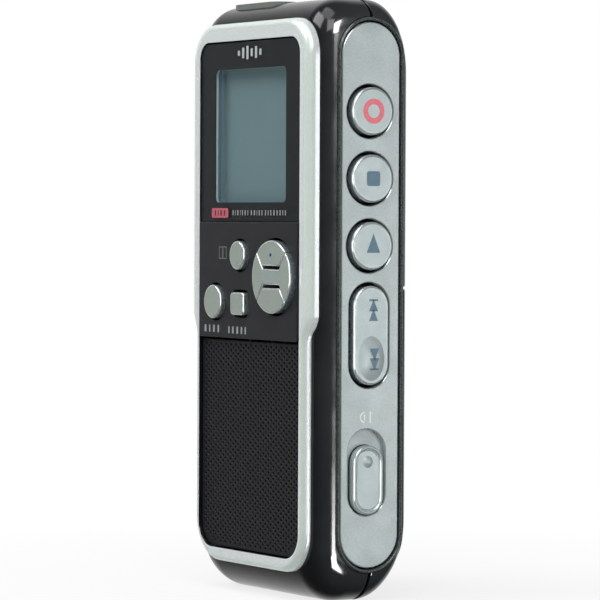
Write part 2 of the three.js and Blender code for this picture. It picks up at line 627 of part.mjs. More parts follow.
function addSpeaker() {
  const { radius, back, front, magnetRadius, magnetThick, rim, wall, sheet, throatGap, y } = SPEAKER;
  const throat = magnetRadius + throatGap;
  const floor = back + magnetThick / 2;
  const basket = turned([
    [throat, floor], [throat + 1, floor], [radius, front - rim], [radius, front], [radius - wall, front],
    [radius - wall, front - rim], [throat, floor + sheet], [throat, floor],
  ], 24);
  addPiece(frontFace, "speaker_basket", basket, steel(), 0, y);
  const edge = radius - CONE.rimGap;
  const foot = back + CONE.foot;
  const cone = turned([
    [0, foot], [CONE.dome, foot], [edge, front - CONE.rimBack], [edge, front - CONE.rimFront],
    [CONE.dome, foot + CONE.thick], [0, foot + CONE.thick],
  ]);
  addPiece(frontFace, "speaker_cone", cone, material(0x24211e, 0.85), 0, y);
  addPiece(frontFace, "speaker_magnet", rod(magnetRadius, magnetThick).translate(0, 0, floor), steel(), 0, y);
}

// ---------- side face ----------

// The part of a prism on the side face that lies between two skins parallel to the case's surface.
function wrapped(outline, inner, outer) {
  const prism = onFace(sideFace, plate(outline, RING.reach, BEYOND, 0, SMOOTH));
  return offFace(sideFace, common(prism, cut(caseSolid(outer), caseSolid(inner))));
}

function sidePlateOutline(grow = 0) {
  return stadium(SIDE.width + 2 * grow, SIDE.length + 2 * grow, SIDE.x, SIDE.y);
}

function sidePlate() {
  const body = wrapped(sidePlateOutline(), SIDE.thick, 0);
  const { holeWidth, holeLength } = ROCKER;
  const keyHoles = TRANSPORT_KEYS.map((key) => {
    return plate(disc(SIDE_KEY.hole, SIDE.keyX, key.y), INTO, BEYOND, 0, ROUND);
  });
  const rockerHole = plate(stadium(holeWidth, holeLength, SIDE.keyX, ROCKER.y), INTO, BEYOND, 0, SMOOTH);
  const recess = plate(stadium(HOLD.width, HOLD.length, HOLD.x, HOLD.y), HOLD.floor, BEYOND, 0, SMOOTH);
  const slotLength = HOLD.stem + HOLD.travel + 2 * GAP;
  const slot = block(HOLD.stem + 2 * GAP, slotLength, -INTO, HOLD.x, holdRest() + HOLD.travel / 2, 0);
  return cut(body, ...keyHoles, rockerHole, recess, slot);
}

function sideRing() {
  const outer = wrapped(sideRingOutline(0), RING.back, -RING.proud);
  return cut(outer, plate(sidePlateOutline(SIDE.ringGap), INTO, BEYOND, 0, SMOOTH));
}

// Height of the slider's middle at its lower stop.
function holdRest() {
  return HOLD.y - HOLD.travel / 2 - HOLD.rest;
}

function transportKey() {
  const cap = plate(disc(SIDE_KEY.radius), SIDE_KEY.flangeBack, SIDE_KEY.top, SIDE_KEY.edge, ROUND);
  return join(cap, plate(disc(SIDE_KEY.flange), SIDE_KEY.flangeBack, SIDE_KEY.flangeFront, 0, ROUND));
}

function skipRocker() {
  const { width, length, top, axis, flangeBack, flangeFront, flange, pinRadius } = ROCKER;
  const cap = plate(stadium(width, length), flangeBack, top, SIDE_KEY.edge, SMOOTH);
  const base = plate(stadium(width + 2 * flange, length + 2 * flange), flangeBack, flangeFront, 0, SMOOTH);
  const thumb = turned(THUMB.profile).scale(1, THUMB.stretch, 1).translate(0, -THUMB.drop, top - THUMB.sink);
  const notch = block(2 * width, 2 * (pinRadius + GAP), 2 * (pinRadius + GAP), 0, 0, axis);
  return cut(join(cap, base, thumb), notch);
}

function holdSlider() {
  const { capWidth, capLength, floor, sink, top, edge, stem, stemEnd } = HOLD;
  const rim = 2 * HOLD_POCKET.rim;
  const { y, radius, rise, root } = HOLD_BUMP;
  const cap = plate(stadium(capWidth, capLength), floor + sink, top, edge, SMOOTH);
  const pocket = plate(stadium(capWidth - rim, capLength - rim), top - HOLD_POCKET.depth, BEYOND, 0, SMOOTH);
  const bump = plate(disc(radius, 0, y), top - root, top + rise, 0, SMOOTH);
  return join(cut(cap, pocket), bump, block(stem, stem, -stemEnd, 0, 0, stemEnd / 2));
}

function holdSwitch() {
  const { width, length, front, gap, slotDepth, slotMiddle } = HOLD_SWITCH;
  const back = SIDE_BOARD.front + gap;
  const body = block(width, length, front - back, 0, HOLD.travel / 2, (front + back) / 2);
  const slotLength = HOLD.stem + HOLD.travel + 2 * GAP;
  const slotHeight = HOLD.stemEnd + slotMiddle;
  return cut(body, block(HOLD.stem + 2 * GAP, slotLength, slotDepth, 0, HOLD.travel / 2, slotHeight));
}

function sideKeypad() {
  const { back, front, nub, nubRadius, rockerStep, sink, width, top, bottom, corner } = SIDE_PAD;
  const outline = roundedRect(width, top - bottom, corner, corner, SIDE.keyX, (top + bottom) / 2);
  const nubs = TRANSPORT_KEYS.map((key) => {
    return plate(disc(nubRadius, SIDE.keyX, key.y), front - sink, nub, 0, SMOOTH);
  });
  for (const y of [ROCKER.y + rockerStep, ROCKER.y - rockerStep]) {
    nubs.push(plate(disc(nubRadius, SIDE.keyX, y), front - sink, nub - sink, 0, SMOOTH));
  }
  return join(plate(outline, back, front), ...nubs);
}

function addSide() {
  addPiece(sideFace, "side_plate", sidePlate(), plateSilver());
  addPiece(sideFace, "side_ring", sideRing(), material(0x8f9a98, 0.3, 0.7));
  for (const key of TRANSPORT_KEYS) {
    addPiece(sideFace, key.name, transportKey(), sideKeySilver(), SIDE.keyX, key.y);
  }
  addPiece(sideFace, "skip_rocker", skipRocker(), sideKeySilver(), SIDE.keyX, ROCKER.y);
  const { pinRadius, pinLength, axis } = ROCKER;
  const pin = new THREE.CylinderGeometry(pinRadius, pinRadius, pinLength, 12).rotateZ(HALF_PI);
  addPiece(sideFace, "rocker_pin", pin, steel(), SIDE.keyX, ROCKER.y, axis);
  addPiece(sideFace, "hold_slider", holdSlider(), sideKeySilver(), HOLD.x, holdRest());
  addPiece(sideFace, "hold_switch", holdSwitch(), chipBlack(), HOLD.x, holdRest());
  addPiece(sideFace, "side_keypad", sideKeypad(), rubber());
  const { back, front, width, top, bottom, corner } = SIDE_BOARD;
  const board = plate(roundedRect(width, top - bottom, corner), back, front, 0, 2);
  addPiece(sideFace, "side_board", board, boardGreen(), SIDE.keyX, (top + bottom) / 2);
}

// ---------- circuit board ----------

function addBoard() {
  const { back, front, half, top, bottom, corner } = BOARD;
  const board = plate(roundedRect(2 * half, top - bottom, corner), back, front, 0, 2);
  addPiece(frontFace, "main_board", board, boardGreen(), 0, (top + bottom) / 2);
  const under = back - CHIP_GAP;
  const processor = block(PROCESSOR.size, PROCESSOR.size, PROCESSOR.thick, 0, 0, -PROCESSOR.thick / 2);
  const memory = block(MEMORY.width, MEMORY.height, MEMORY.thick, 0, 0, -MEMORY.thick / 2);
  const crystal = plate(stadium(CRYSTAL.width, CRYSTAL.height), -CRYSTAL.thick, 0);
  const capacitor = rod(CAPACITOR.radius, CAPACITOR.length).translate(0, 0, -CAPACITOR.length / 2);
  const foil = material(0x9aa4ae, 0.3, 0.7);
  addPiece(frontFace, "processor_chip", processor, chipBlack(), PROCESSOR.x, PROCESSOR.y, under);
  addPiece(frontFace, "memory_chip", memory, chipBlack(), MEMORY.x, MEMORY.y, under);
  addPiece(frontFace, "clock_crystal", crystal, steel(), CRYSTAL.x, CRYSTAL.y, under);
  addPiece(frontFace, "filter_capacitor", capacitor, foil, CAPACITOR.x, CAPACITOR.y, under);
}

// ---------- sockets and microphone ----------

function jackSocket() {
  const { size, length, nozzle, nozzleLength, nozzleMiddle, bore, boreLength, boreTop } = JACK;
  const body = block(size, size, length, 0, 0, -length / 2);
  const neck = rod(nozzle, nozzleLength).translate(0, 0, nozzleMiddle);
  const hole = rod(bore, boreLength).translate(0, 0, boreTop - boreLength / 2);
  return cut(join(body, neck), hole);
}

function addTop() {
  const y = atDepth(JACK.depth);
  const under = JACK_PLATE.proud - JACK_PLATE.thick;
  const cover = jackPlateOutline(0);
  cover.holes = JACK.x.map((x) => disc(JACK.bore + JACK.holePlay, x, y));
  const lid = plate(cover, under, JACK_PLATE.proud, 0, SMOOTH);
  addPiece(topFace, "jack_plate", lid, material(0x9ba19f, 0.4, 0.4));
  addPiece(topFace, "microphone_jack", jackSocket(), chipBlack(), JACK.x[0], y, -WALL - GAP);
  addPiece(topFace, "earphone_jack", jackSocket(), chipBlack(), JACK.x[1], y, -WALL - GAP);
  const capsule = rod(MIC.radius, MIC.length, 18).translate(0, 0, -MIC.length / 2);
  addPiece(topFace, "microphone_capsule", capsule, steel(), MIC.x, atDepth(MIC.depth), MIC.top);
}

function usbSocket() {
  const { width, height, length, wall } = USB;
  const shell = block(length, width, height);
  const mouth = block(length, width - 2 * wall, height - 2 * wall, -wall, 0, 0);
  const tongue = block(USB_TONGUE.length, USB_TONGUE.width, USB_TONGUE.height, USB_TONGUE.x, 0, 0);
  return join(cut(shell, mouth), tongue);
}

function addUsb() {
  const x = -WIDTH / 2 + USB.length / 2 + USB.sink;
  addPiece(recorder, "usb_socket", usbSocket(), steel(), x, atDepth(USB.depth), HEIGHT / 2 + USB.y);
}

// ---------- batteries ----------

// A cell standing on its flat end, with the raised contact on top.
function batteryCell() {
  const { radius, length, nub, nubLength, edge } = CELL;
  const half = length / 2;
  return turned([
    [0, -half], [radius - edge, -half], [radius, -half + edge], [radius, half - edge], [radius - edge, half],
    [nub, half], [nub, half + nubLength], [0, half + nubLength],
  ], 18);
}

class Helix extends THREE.Curve {
  getPoint(t, target = new THREE.Vector3()) {
    const angle = 2 * Math.PI * SPRING.turns * t;
    return target.set(SPRING.radius * Math.cos(angle), SPRING.radius * Math.sin(angle), SPRING.length * t);
  }
}

function coilSpring() {
  const { wire, sides, steps } = SPRING;
  const corners = [];
  for (let i = 0; i < sides; i++) {
    const angle = (2 * Math.PI * i) / sides;
    corners.push([wire * Math.cos(angle), wire * Math.sin(angle)]);
  }
  return new THREE.ExtrudeGeometry(polygon(corners), { steps, bevelEnabled: false, extrudePath: new Helix() });
}

function addPower() {
  const y = atDepth(CELL.depth);
  const z = HEIGHT / 2 + CELL.middle;
  const label = () => material(0x3b4a58, 0.35, 0.3);
  const cells = [["battery_cell_1", -CELL.x, 1], ["battery_cell_2", CELL.x, -1]];
  const springGap = CELL.length / 2 + GAP + SPRING.wire;
  const tabGap = CELL.length / 2 + CELL.nubLength + GAP;
  cells.forEach(([name, x, way], index) => {
    const cell = addPiece(recorder, name, batteryCell(), label(), x, y, z);
    cell.rotation.x = way > 0 ? 0 : Math.PI;
    const foot = z - way * springGap;
    const spring = addPiece(recorder, `contact_spring_${index + 1}`, coilSpring(), steel(), x, y, foot);
    spring.rotation.x = way > 0 ? Math.PI : 0;
    const tab = block(TAB.width, TAB.depth, TAB.thick, 0, 0, (way * TAB.thick) / 2);
    addPiece(recorder, `contact_tab_${index + 1}`, tab, steel(), x, y, z + way * tabGap);
  });
}

// ---------- screws ----------

// A pan head screw: its head faces outwards and its shaft points into the case.
function caseScrew() {
  const { head, headThick, headEdge, headBevel, shaft, length, slot, slotDepth } = SCREW;
  const body = turned([
    [0, -length], [shaft, -length], [shaft, -headThick], [head, -headThick], [head, -headEdge],
    [head - headBevel, 0], [0, 0],
  ], 16);
  const [narrow, wide] = slot;
  return cut(body, block(narrow, wide, slotDepth), block(wide, narrow, slotDepth));
}

function addScrews() {
  SCREW_PLACES.forEach(([x, y], index) => {
    addPiece(backFace, `case_screw_${index + 1}`, caseScrew(), steel(), -x, y, screwHead(y) - DEPTH);
  });
}

// ---------- assembly ----------

addPiece(recorder, "front_shell", frontShell(), blackGloss());
addPiece(recorder, "rear_shell", rearShell(), blackGloss());
addPiece(recorder, "battery_door", batteryDoor(), blackGloss());
addFront();
addSpeaker();
addSide();
addBoard();
addTop();
addUsb();
addPower();
addScrews();

export default recorder;
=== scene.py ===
"""Handheld voice recorder: fine meshes, materials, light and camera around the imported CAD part.

Lengths are in millimetres until a point becomes a vertex. Each face of the recorder has its own axes:
x across, y up from the middle and z outwards.
"""

import json
import math

import bmesh
import bpy
from mathutils import Matrix, Vector
from mathutils.geometry import delaunay_2d_cdt

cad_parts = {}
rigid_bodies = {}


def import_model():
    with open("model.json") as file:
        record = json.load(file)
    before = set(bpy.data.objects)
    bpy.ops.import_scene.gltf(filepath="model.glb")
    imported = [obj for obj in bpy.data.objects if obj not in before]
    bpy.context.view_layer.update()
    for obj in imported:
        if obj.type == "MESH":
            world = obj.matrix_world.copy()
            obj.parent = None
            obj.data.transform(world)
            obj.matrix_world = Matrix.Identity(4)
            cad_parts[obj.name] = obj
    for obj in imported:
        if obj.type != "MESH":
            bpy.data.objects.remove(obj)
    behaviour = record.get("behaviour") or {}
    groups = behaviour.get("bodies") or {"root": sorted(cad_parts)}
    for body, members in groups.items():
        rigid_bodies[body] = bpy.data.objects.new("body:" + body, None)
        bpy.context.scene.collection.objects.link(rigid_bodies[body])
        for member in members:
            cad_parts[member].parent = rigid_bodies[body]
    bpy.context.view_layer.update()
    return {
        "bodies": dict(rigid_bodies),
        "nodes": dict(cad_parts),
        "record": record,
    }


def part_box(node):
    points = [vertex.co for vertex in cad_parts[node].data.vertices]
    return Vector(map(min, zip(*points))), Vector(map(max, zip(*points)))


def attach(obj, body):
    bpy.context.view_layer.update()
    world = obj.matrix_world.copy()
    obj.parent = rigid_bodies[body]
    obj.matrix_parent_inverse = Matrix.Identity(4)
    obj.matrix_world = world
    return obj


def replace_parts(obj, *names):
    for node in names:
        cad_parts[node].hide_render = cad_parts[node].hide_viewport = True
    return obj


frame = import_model()

MM = 0.001
QUARTER = math.pi / 2
CUT_CREASE = math.radians(24)  # sharper edges than this stay sharp after a cut
ARC = 10  # segments in a quarter of a small corner
FINE_ARC = 18  # the same for long visible corners


# ---------- sizes from the frame ----------

def low(node):
    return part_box(node)[0] / MM


def high(node):
    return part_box(node)[1] / MM


HEIGHT = high("front_shell").z
MIDDLE = HEIGHT / 2
HALF_WIDTH = high("rear_shell").x
PLANE = low("display_lens").y  # the front panel plane
BACK = high("rear_shell").y
DEPTH = BACK - PLANE
SLOTS = {part["node"]: part["material_slot"] for part in frame["record"]["subparts"]}


class Face:
    """One side of the recorder, with its own axes."""

    def __init__(self, origin, across, up, out):
        self.origin = Vector(origin)
        self.axes = [Vector(across), Vector(up), Vector(out)]

    def at(self, x, y, z=0.0):
        across, up, out = self.axes
        return (self.origin + x * across + y * up + z * out) * MM

    def of(self, point):
        away = Vector(point) - self.origin
        return Vector([away.dot(axis) for axis in self.axes])

    def box(self, node):
        """Lowest and highest corner of a CAD node in this face's axes."""
        corners = [self.of(low(node)), self.of(high(node))]
        lowest = Vector([min(c[i] for c in corners) for i in range(3)])
        highest = Vector([max(c[i] for c in corners) for i in range(3)])
        return lowest, highest

    def spot(self, node, flange=0.0):
        """Middle, width and height of a CAD node without its flange, and how far out it reaches."""
        lowest, highest = self.box(node)
        x, y = (lowest.x + highest.x) / 2, (lowest.y + highest.y) / 2
        return x, y, highest.x - lowest.x - 2 * flange, highest.y - lowest.y - 2 * flange, highest.z


FRONT = Face((0, PLANE, MIDDLE), (1, 0, 0), (0, 0, 1), (0, -1, 0))
SIDE = Face((HALF_WIDTH, 0, MIDDLE), (0, 1, 0), (0, 0, 1), (1, 0, 0))
REAR = Face((0, BACK, MIDDLE), (-1, 0, 0), (0, 0, 1), (0, 1, 0))

# ---------- design values ----------

# The case: sections parallel to the front, with both ends bowed outwards between front and back.
CASE_FRONT = 1.9
FRONT_ROUND = 3.4
BACK_ROUND = 2.4
FLAT_FROM = 9.0
FLAT_TO = 13.0
WALL = 1.4
TOP_END = {"corner": 5.5, "front_drop": 7.0, "front_power": 2.3, "back_drop": 18.0, "back_power": 2.8}
BOTTOM_END = {"corner": 7.4, "front_drop": 7.0, "front_power": 1.9, "back_drop": 12.0, "back_power": 2.0}
SEAM_DEPTH = 12.5
SEAM_HALF_GAP = 0.25
SEAM_EDGE = 0.18
DOOR_DEPTH = 19.0
DOOR_TOP = 2.4
DOOR_GAP = 0.3
DOOR_EDGE = 0.2
DOOR_CORNER = 0.5
GRIPS = 4
GRIP_PITCH = 1.6
GRIP_DEPTH = 0.45
WELL_DEPTH = 1.6
WELL_PLAY = 0.35
SIDE_PLAY = 0.1

# The bezel: wide beside the display and the keys, narrow beside the speaker.
BEZEL_STEP_HIGH = -2.5
BEZEL_STEP_LOW = -7.0
BEZEL_NARROWER = 2.0
BEZEL_ROUND = 1.6
WIDE_ROUND = 1.5
NARROW_ROUND = 0.5
END_ROUND = 1.0
BEZEL_TOP_RADIUS = 6.6
BEZEL_BOTTOM_RADIUS = 7.2
OPENING_TOP_RADIUS = 2.7
OPENING_BOTTOM_RADIUS = 4.3
OPENING_COVER = 0.6  # how far the case reaches in under the bezel
LIP_PLAY = 0.2
BEZEL_FOOT = -2.3

# The display, from the lens inwards.
SCREEN_WIDTH = 24.8
SCREEN_HEIGHT = 24.0
SCREEN_CORNER = 1.0
LENS_LONGER = 0.3
LENS_THICK = 0.25
MASK_THICK = 0.2
FRAME_FOOT = -2.5

# The front keys. The volume keys share a round outline with the key between them.
KEY_FLANGE = 0.75  # how far a front key's hidden flange stands out around its cap
FRONT_KEY_GAP = 0.4
FRONT_KEY_FOOT = -2.2
FRONT_EDGE = 0.32
VOLUME_EDGE = 0.3
VOLUME_RADIUS = 6.5
VOLUME_BASE = 1.95
VOLUME_FLAT = 2.9
VOLUME_SLOPE = 0.72
VOLUME_GAP = 0.55
VOLUME_SIDE_GAP = 0.2

# The side strip: its keys, the rocker with an oval bump, the hold slider and the ring around it all.
SIDE_KEY_FLANGE = 1.1
ROCKER_FLANGE = 0.9
SIDE_KEY_GAP = 0.55
SIDE_KEY_FOOT = -2.4
SIDE_EDGE = 0.42
ROCKER_TOP = 0.9
BUMP_WIDTH = 5.7
BUMP_LENGTH = 8.4
BUMP_DROP = 4.1
BUMP_RISE = 0.75
HOLD_BUMP_RISE = 0.2
HOLD_RIM = 0.7
HOLD_WIDTH = 7.8
HOLD_LENGTH = 15.2
HOLD_TRAVEL = 2.4
RING_PLAY = 0.3
STRAIGHT_PARTS = 40  # pieces of each straight side of the side ring

# The speaker's perforation, in rows half a pitch apart.
GRILLE_PITCH_X = 1.77
GRILLE_PITCH_Y = 1.09
GRILLE_HOLE = 0.3  # radius
GRILLE_HOLE_SIDES = 8
GRILLE_MARGIN = 0.75

# The prints. Rows of plain strokes have a list of widths; a width of 0 is a wider space.
INK_SUNK = 0.01
INK_PROUD = 0.012
KEY_DIP = 0.035  # how far the middle of a side key lies below its rim
LEVEL_LEFT = -3.6
LEVEL_PITCH = 1.5
LEVEL_Y = 44.1
BADGE_X = -10.15
BADGE_WIDTH = 5.9
LEVEL_BARS = (0.9, 1.9, 2.4, 1.4, 2.1, 1.1)
BADGE = (0.8, 0.5, 0.9, 0.9)
CAPTION = (0.7, 0.3, 0.8, 0.3, 0.6, 0.7, 0.5, 0, 0.7, 0.8, 0.3, 0.7, 0.5, 0,
           0.7, 0.5, 0.7, 0.8, 0.7, 0.7, 0.5, 0.6)
MENU_LEGEND = (1.3, 0.9, 1.2, 1.1)
ERASE_LEGEND = (0.9, 1.1, 1.2, 1.0, 0.9)
INKS = {
    "print_grey": (0.42, 0.46, 0.45),
    "print_blue": (0.13, 0.22, 0.29),
    "print_red": (0.80, 0.20, 0.24),
    "badge_red": (0.50, 0.10, 0.14),
    "badge_dark": (0.06, 0.03, 0.035),
    "legend_grey": (0.27, 0.29, 0.285),
    "sign_grey": (0.12, 0.13, 0.13),
    "faint_blue": (0.27, 0.34, 0.36),
}

# Degrees and millimetres, from the middle of the recorder.
CAMERA_AZIMUTH = 58.5
CAMERA_ELEVATION = 1.42
CAMERA_ROLL = 0.26
CAMERA_DISTANCE = 606.6
CAMERA_TARGET = (0.04, 0.62, -0.28)
CAMERA_LENS = 201.26
SENSOR = 36.0

AMBIENT = 0.24  # how bright the surroundings are for matt surfaces
MIRRORED = 0.03  # the same for what the shiny ones mirror
BACKDROP = 0.8  # brightness of the backdrop that they mirror
BACKDROP_EDGE = (0.35, 0.85)  # cosines between which it fades in
FLOOR_RADIUS = 12000
FLOOR_WHITE = 0.8  # how far the floor is covered by plain white under the recorder; 1 away from it
FLOOR_FADE = (20, 140)

# Each light: azimuth, elevation, distance, width, height, power and, for one, the height it aims at.
STUDIO_LIGHTS = {
    "overhead": (10, 72, 900, 700, 500, 2.2),
    "front_left": (-25, 44, 900, 600, 400, 3.6),
    "right_high": (60, 40, 800, 480, 440, 2.8),
    "behind_right": (128, 2, 520, 360, 260, 0.45, 10),
}
SHELL_WINDOWS = {  # these only light the two shells
    "upper_window": (98, 24, 800, 360, 460, 20.0),
    "lower_window": (98, -24, 800, 360, 460, 20.0),
}
RIM_WINDOWS = {  # these only light the polished keys and rims
    "tall_window": (30, 0, 800, 420, 560, 4.0),
    "side_window": (92, -6, 800, 260, 420, 0.8),
}


# ---------- outlines ----------

def arc(x, y, radius, start, end, steps):
    angles = [start + (end - start) * i / steps for i in range(steps + 1)]
    return [(x + radius * math.cos(a), y + radius * math.sin(a)) for a in angles]


def rounded(left, right, bottom, top, bottom_radius, top_radius, steps=ARC):
    """A rectangle with round corners, anticlockwise from the bottom right corner."""
    low_r, high_r = max(bottom_radius, 0.01), max(top_radius, 0.01)
    points = arc(right - low_r, bottom + low_r, low_r, -QUARTER, 0, steps)
    points += arc(right - high_r, top - high_r, high_r, 0, QUARTER, steps)
    points += arc(left + high_r, top - high_r, high_r, QUARTER, math.pi, steps)
    points += arc(left + low_r, bottom + low_r, low_r, math.pi, math.pi + QUARTER, steps)
    return points


def rounded_box(x, y, width, height, corner, steps=ARC):
    """An outline function: give it an inset, and it returns the points."""
    def outline(inset):
        half_w, half_h = width / 2 - inset, height / 2 - inset
        radius = corner - inset
        return rounded(x - half_w, x + half_w, y - half_h, y + half_h, radius, radius, steps)
    return outline


def stadium(x, y, width, height, steps=FINE_ARC):
    return rounded_box(x, y, width, height, min(width, height) / 2, steps)


def disc(x, y, radius, count=4 * FINE_ARC):
    step = 2 * math.pi / count
    return lambda inset: [
        (x + (radius - inset) * math.cos(step * i), y + (radius - inset) * math.sin(step * i))
        for i in range(count)]


# ---------- meshes ----------

def new_piece(name, points, faces, node=None, material=None, sharp=32):
    """A mesh with the body, the slot and, unless one is named, the material of a CAD node."""
    mesh = bpy.data.meshes.new(name)
    mesh.from_pydata([tuple(p) for p in points], [], faces)
    shape = bmesh.new()
    shape.from_mesh(mesh)
    bmesh.ops.remove_doubles(shape, verts=shape.verts, dist=1e-7)
    bmesh.ops.recalc_face_normals(shape, faces=shape.faces)
    shape.to_mesh(mesh)
    shape.free()
    mesh.shade_smooth()
    mesh.set_sharp_from_angle(angle=math.radians(sharp))
    mesh.materials.append(LOOKS[material or SLOTS.get(node, "case_black")])
    piece = bpy.data.objects.new(name, mesh)
    bpy.context.scene.collection.objects.link(piece)
    weighted = piece.modifiers.new("flat_faces_stay_flat", "WEIGHTED_NORMAL")
    weighted.keep_sharp = True
    if node:
        belong(piece, node)
    return piece


def belong(piece, node):
    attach(piece, node if node in frame["bodies"] else "case")
    return piece


def bridge(first, second, count):
    """Quads between two rings that start at the given vertex numbers."""
    return [(first + i, first + (i + 1) % count, second + (i + 1) % count, second + i) for i in range(count)]


def lofted(name, rings, node=None, material=None, closed=False, sharp=32):
    """A skin over rings of points. A closed one joins its last ring to its first."""
    count = len(rings[0])
    points = [point for ring in rings for point in ring]
    faces = []
    for number in range(len(rings) - 1):
        faces += bridge(number * count, (number + 1) * count, count)
    last = (len(rings) - 1) * count
    if closed:
        faces += bridge(last, 0, count)
    else:
        faces.append(tuple(range(count)))
        faces.append(tuple(range(last, last + count)))
    return new_piece(name, points, faces, node, material, sharp)


def cap(name, face, outline, profile, node=None, material=None, sharp=32):
    """A button-like solid: the outline follows the profile's (inset, height) steps from foot to top."""
    rings = [[face.at(x, y, height) for x, y in outline(inset)] for inset, height in profile]
    return lofted(name, rings, node, material, sharp=sharp)


def triangulate(loops, spacing):
    """Triangles between an outer loop and its holes, as (points, triangles); loop points come first."""
    points = [Vector(point) for loop in loops for point in loop]
    edges = []
    owner = []
    for number, loop in enumerate(loops):
        start = len(owner)
        edges += [(start + i, start + (i + 1) % len(loop)) for i in range(len(loop))]
        owner += [number] * len(loop)
    if spacing:
        points += grid_inside(loops, spacing)
    owner += [None] * (len(points) - len(owner))
    found, _, triangles, origins, _, _ = delaunay_2d_cdt(points, edges, [], 1, 1e-9)
    source = [origin[0] for origin in origins]
    kept = []
    for triangle in triangles:
        corners = [source[i] for i in triangle]
        owners = {owner[i] for i in corners}
        if len(owners) > 1 or owners == {0} or owners == {None}:
            kept.append(corners)
    return points, kept


def grid_inside(loops, spacing):
    """Grid points inside the first loop and outside the others, clear of all of them."""
    xs = [p[0] for p in loops[0]]
    ys = [p[1] for p in loops[0]]
    points = []
    for row in range(int((max(ys) - min(ys)) / spacing)):
        for column in range(int((max(xs) - min(xs)) / spacing)):
            point = (min(xs) + (column + 0.5) * spacing, min(ys) + (row + 0.5) * spacing)
            clear = all(min(math.dist(point, p) for p in loop) > spacing * 0.5 for loop in loops)
            inside = contains(loops[0], point) and not any(contains(loop, point) for loop in loops[1:])
            if clear and inside:
                points.append(Vector(point))
    return points


def contains(loop, point):
    x, y = point
    inside = False
    for (x1, y1), (x2, y2) in zip(loop, loop[1:] + loop[:1]):
        if (y1 > y) != (y2 > y) and x < x1 + (y - y1) * (x2 - x1) / (y2 - y1):
            inside = not inside
    return inside


def panel(name, face, outlines, profile, node, material=None, lift=None, spacing=None, sharp=18):
    """A plate with holes. The first outline is its rim and the others are holes."""
    def loops_at(inset):
        return [outline(-inset if number else inset) for number, outline in enumerate(outlines)]

    rise = lift or (lambda x, y: 0)
    flat = []
    faces = []
    starts = []
    for inset, height in profile:
        starts.append(len(flat))
        flat += [(x, y, height) for loop in loops_at(inset) for x, y in loop]
    counts = [len(loop) for loop in loops_at(0)]
    for lower, upper in zip(starts, starts[1:]):
        offset = 0
        for count in counts:
            faces += bridge(lower + offset, upper + offset, count)
            offset += count
    for level, start in ((0, starts[0]), (-1, starts[-1])):
        inset, height = profile[level]
        points, triangles = triangulate(loops_at(inset), spacing)
        shared = sum(counts)
        extra = len(flat) - shared
        flat += [(p[0], p[1], height) for p in points[shared:]]
        for triangle in triangles:
            faces.append(tuple(start + i if i < shared else extra + i for i in triangle))
    points = [face.at(x, y, z + rise(x, y)) for x, y, z in flat]
    return new_piece(name, points, faces, node, material, sharp)


def turned(name, face, profile, x, y, node=None, count=48):
    """A solid of revolution about the face's outward axis, from (radius, height) steps."""
    circles = [(disc(x, y, radius, count)(0), height) for radius, height in profile]
    return lofted(name, [[face.at(px, py, height) for px, py in points] for points, height in circles], node)


def cut(piece, tools):
    """Takes the tools out of the piece and deletes them."""
    for tool in tools:
        modifier = piece.modifiers.new("cut", "BOOLEAN")
        modifier.operation = "DIFFERENCE"
        modifier.solver = "EXACT"
        modifier.object = tool
        piece.modifiers.move(len(piece.modifiers) - 1, 0)
        with bpy.context.temp_override(object=piece, active_object=piece, selected_objects=[piece]):
            bpy.ops.object.modifier_apply(modifier=modifier.name)
        bpy.data.objects.remove(tool)
    piece.data.set_sharp_from_angle(angle=CUT_CREASE)
    return piece


# ---------- materials ----------

def new_node(tree, kind, inputs=(), **settings):
    """A shader node. Its inputs, by name or number, take plain values or the outputs of other nodes."""
    node = tree.nodes.new("ShaderNode" + kind)
    for setting, value in settings.items():
        setattr(node, setting, value)
    for socket, value in dict(inputs).items():
        if isinstance(value, bpy.types.NodeSocket):
            tree.links.new(value, node.inputs[socket])
        else:
            node.inputs[socket].default_value = value
    return node


def calculated(tree, operation, first, second):
    return new_node(tree, "Math", {0: first, 1: second}, operation=operation).outputs["Value"]


def mixed(tree, factor, first, second):
    return new_node(tree, "MixShader", {0: factor, 1: first.outputs[0], 2: second.outputs[0]})


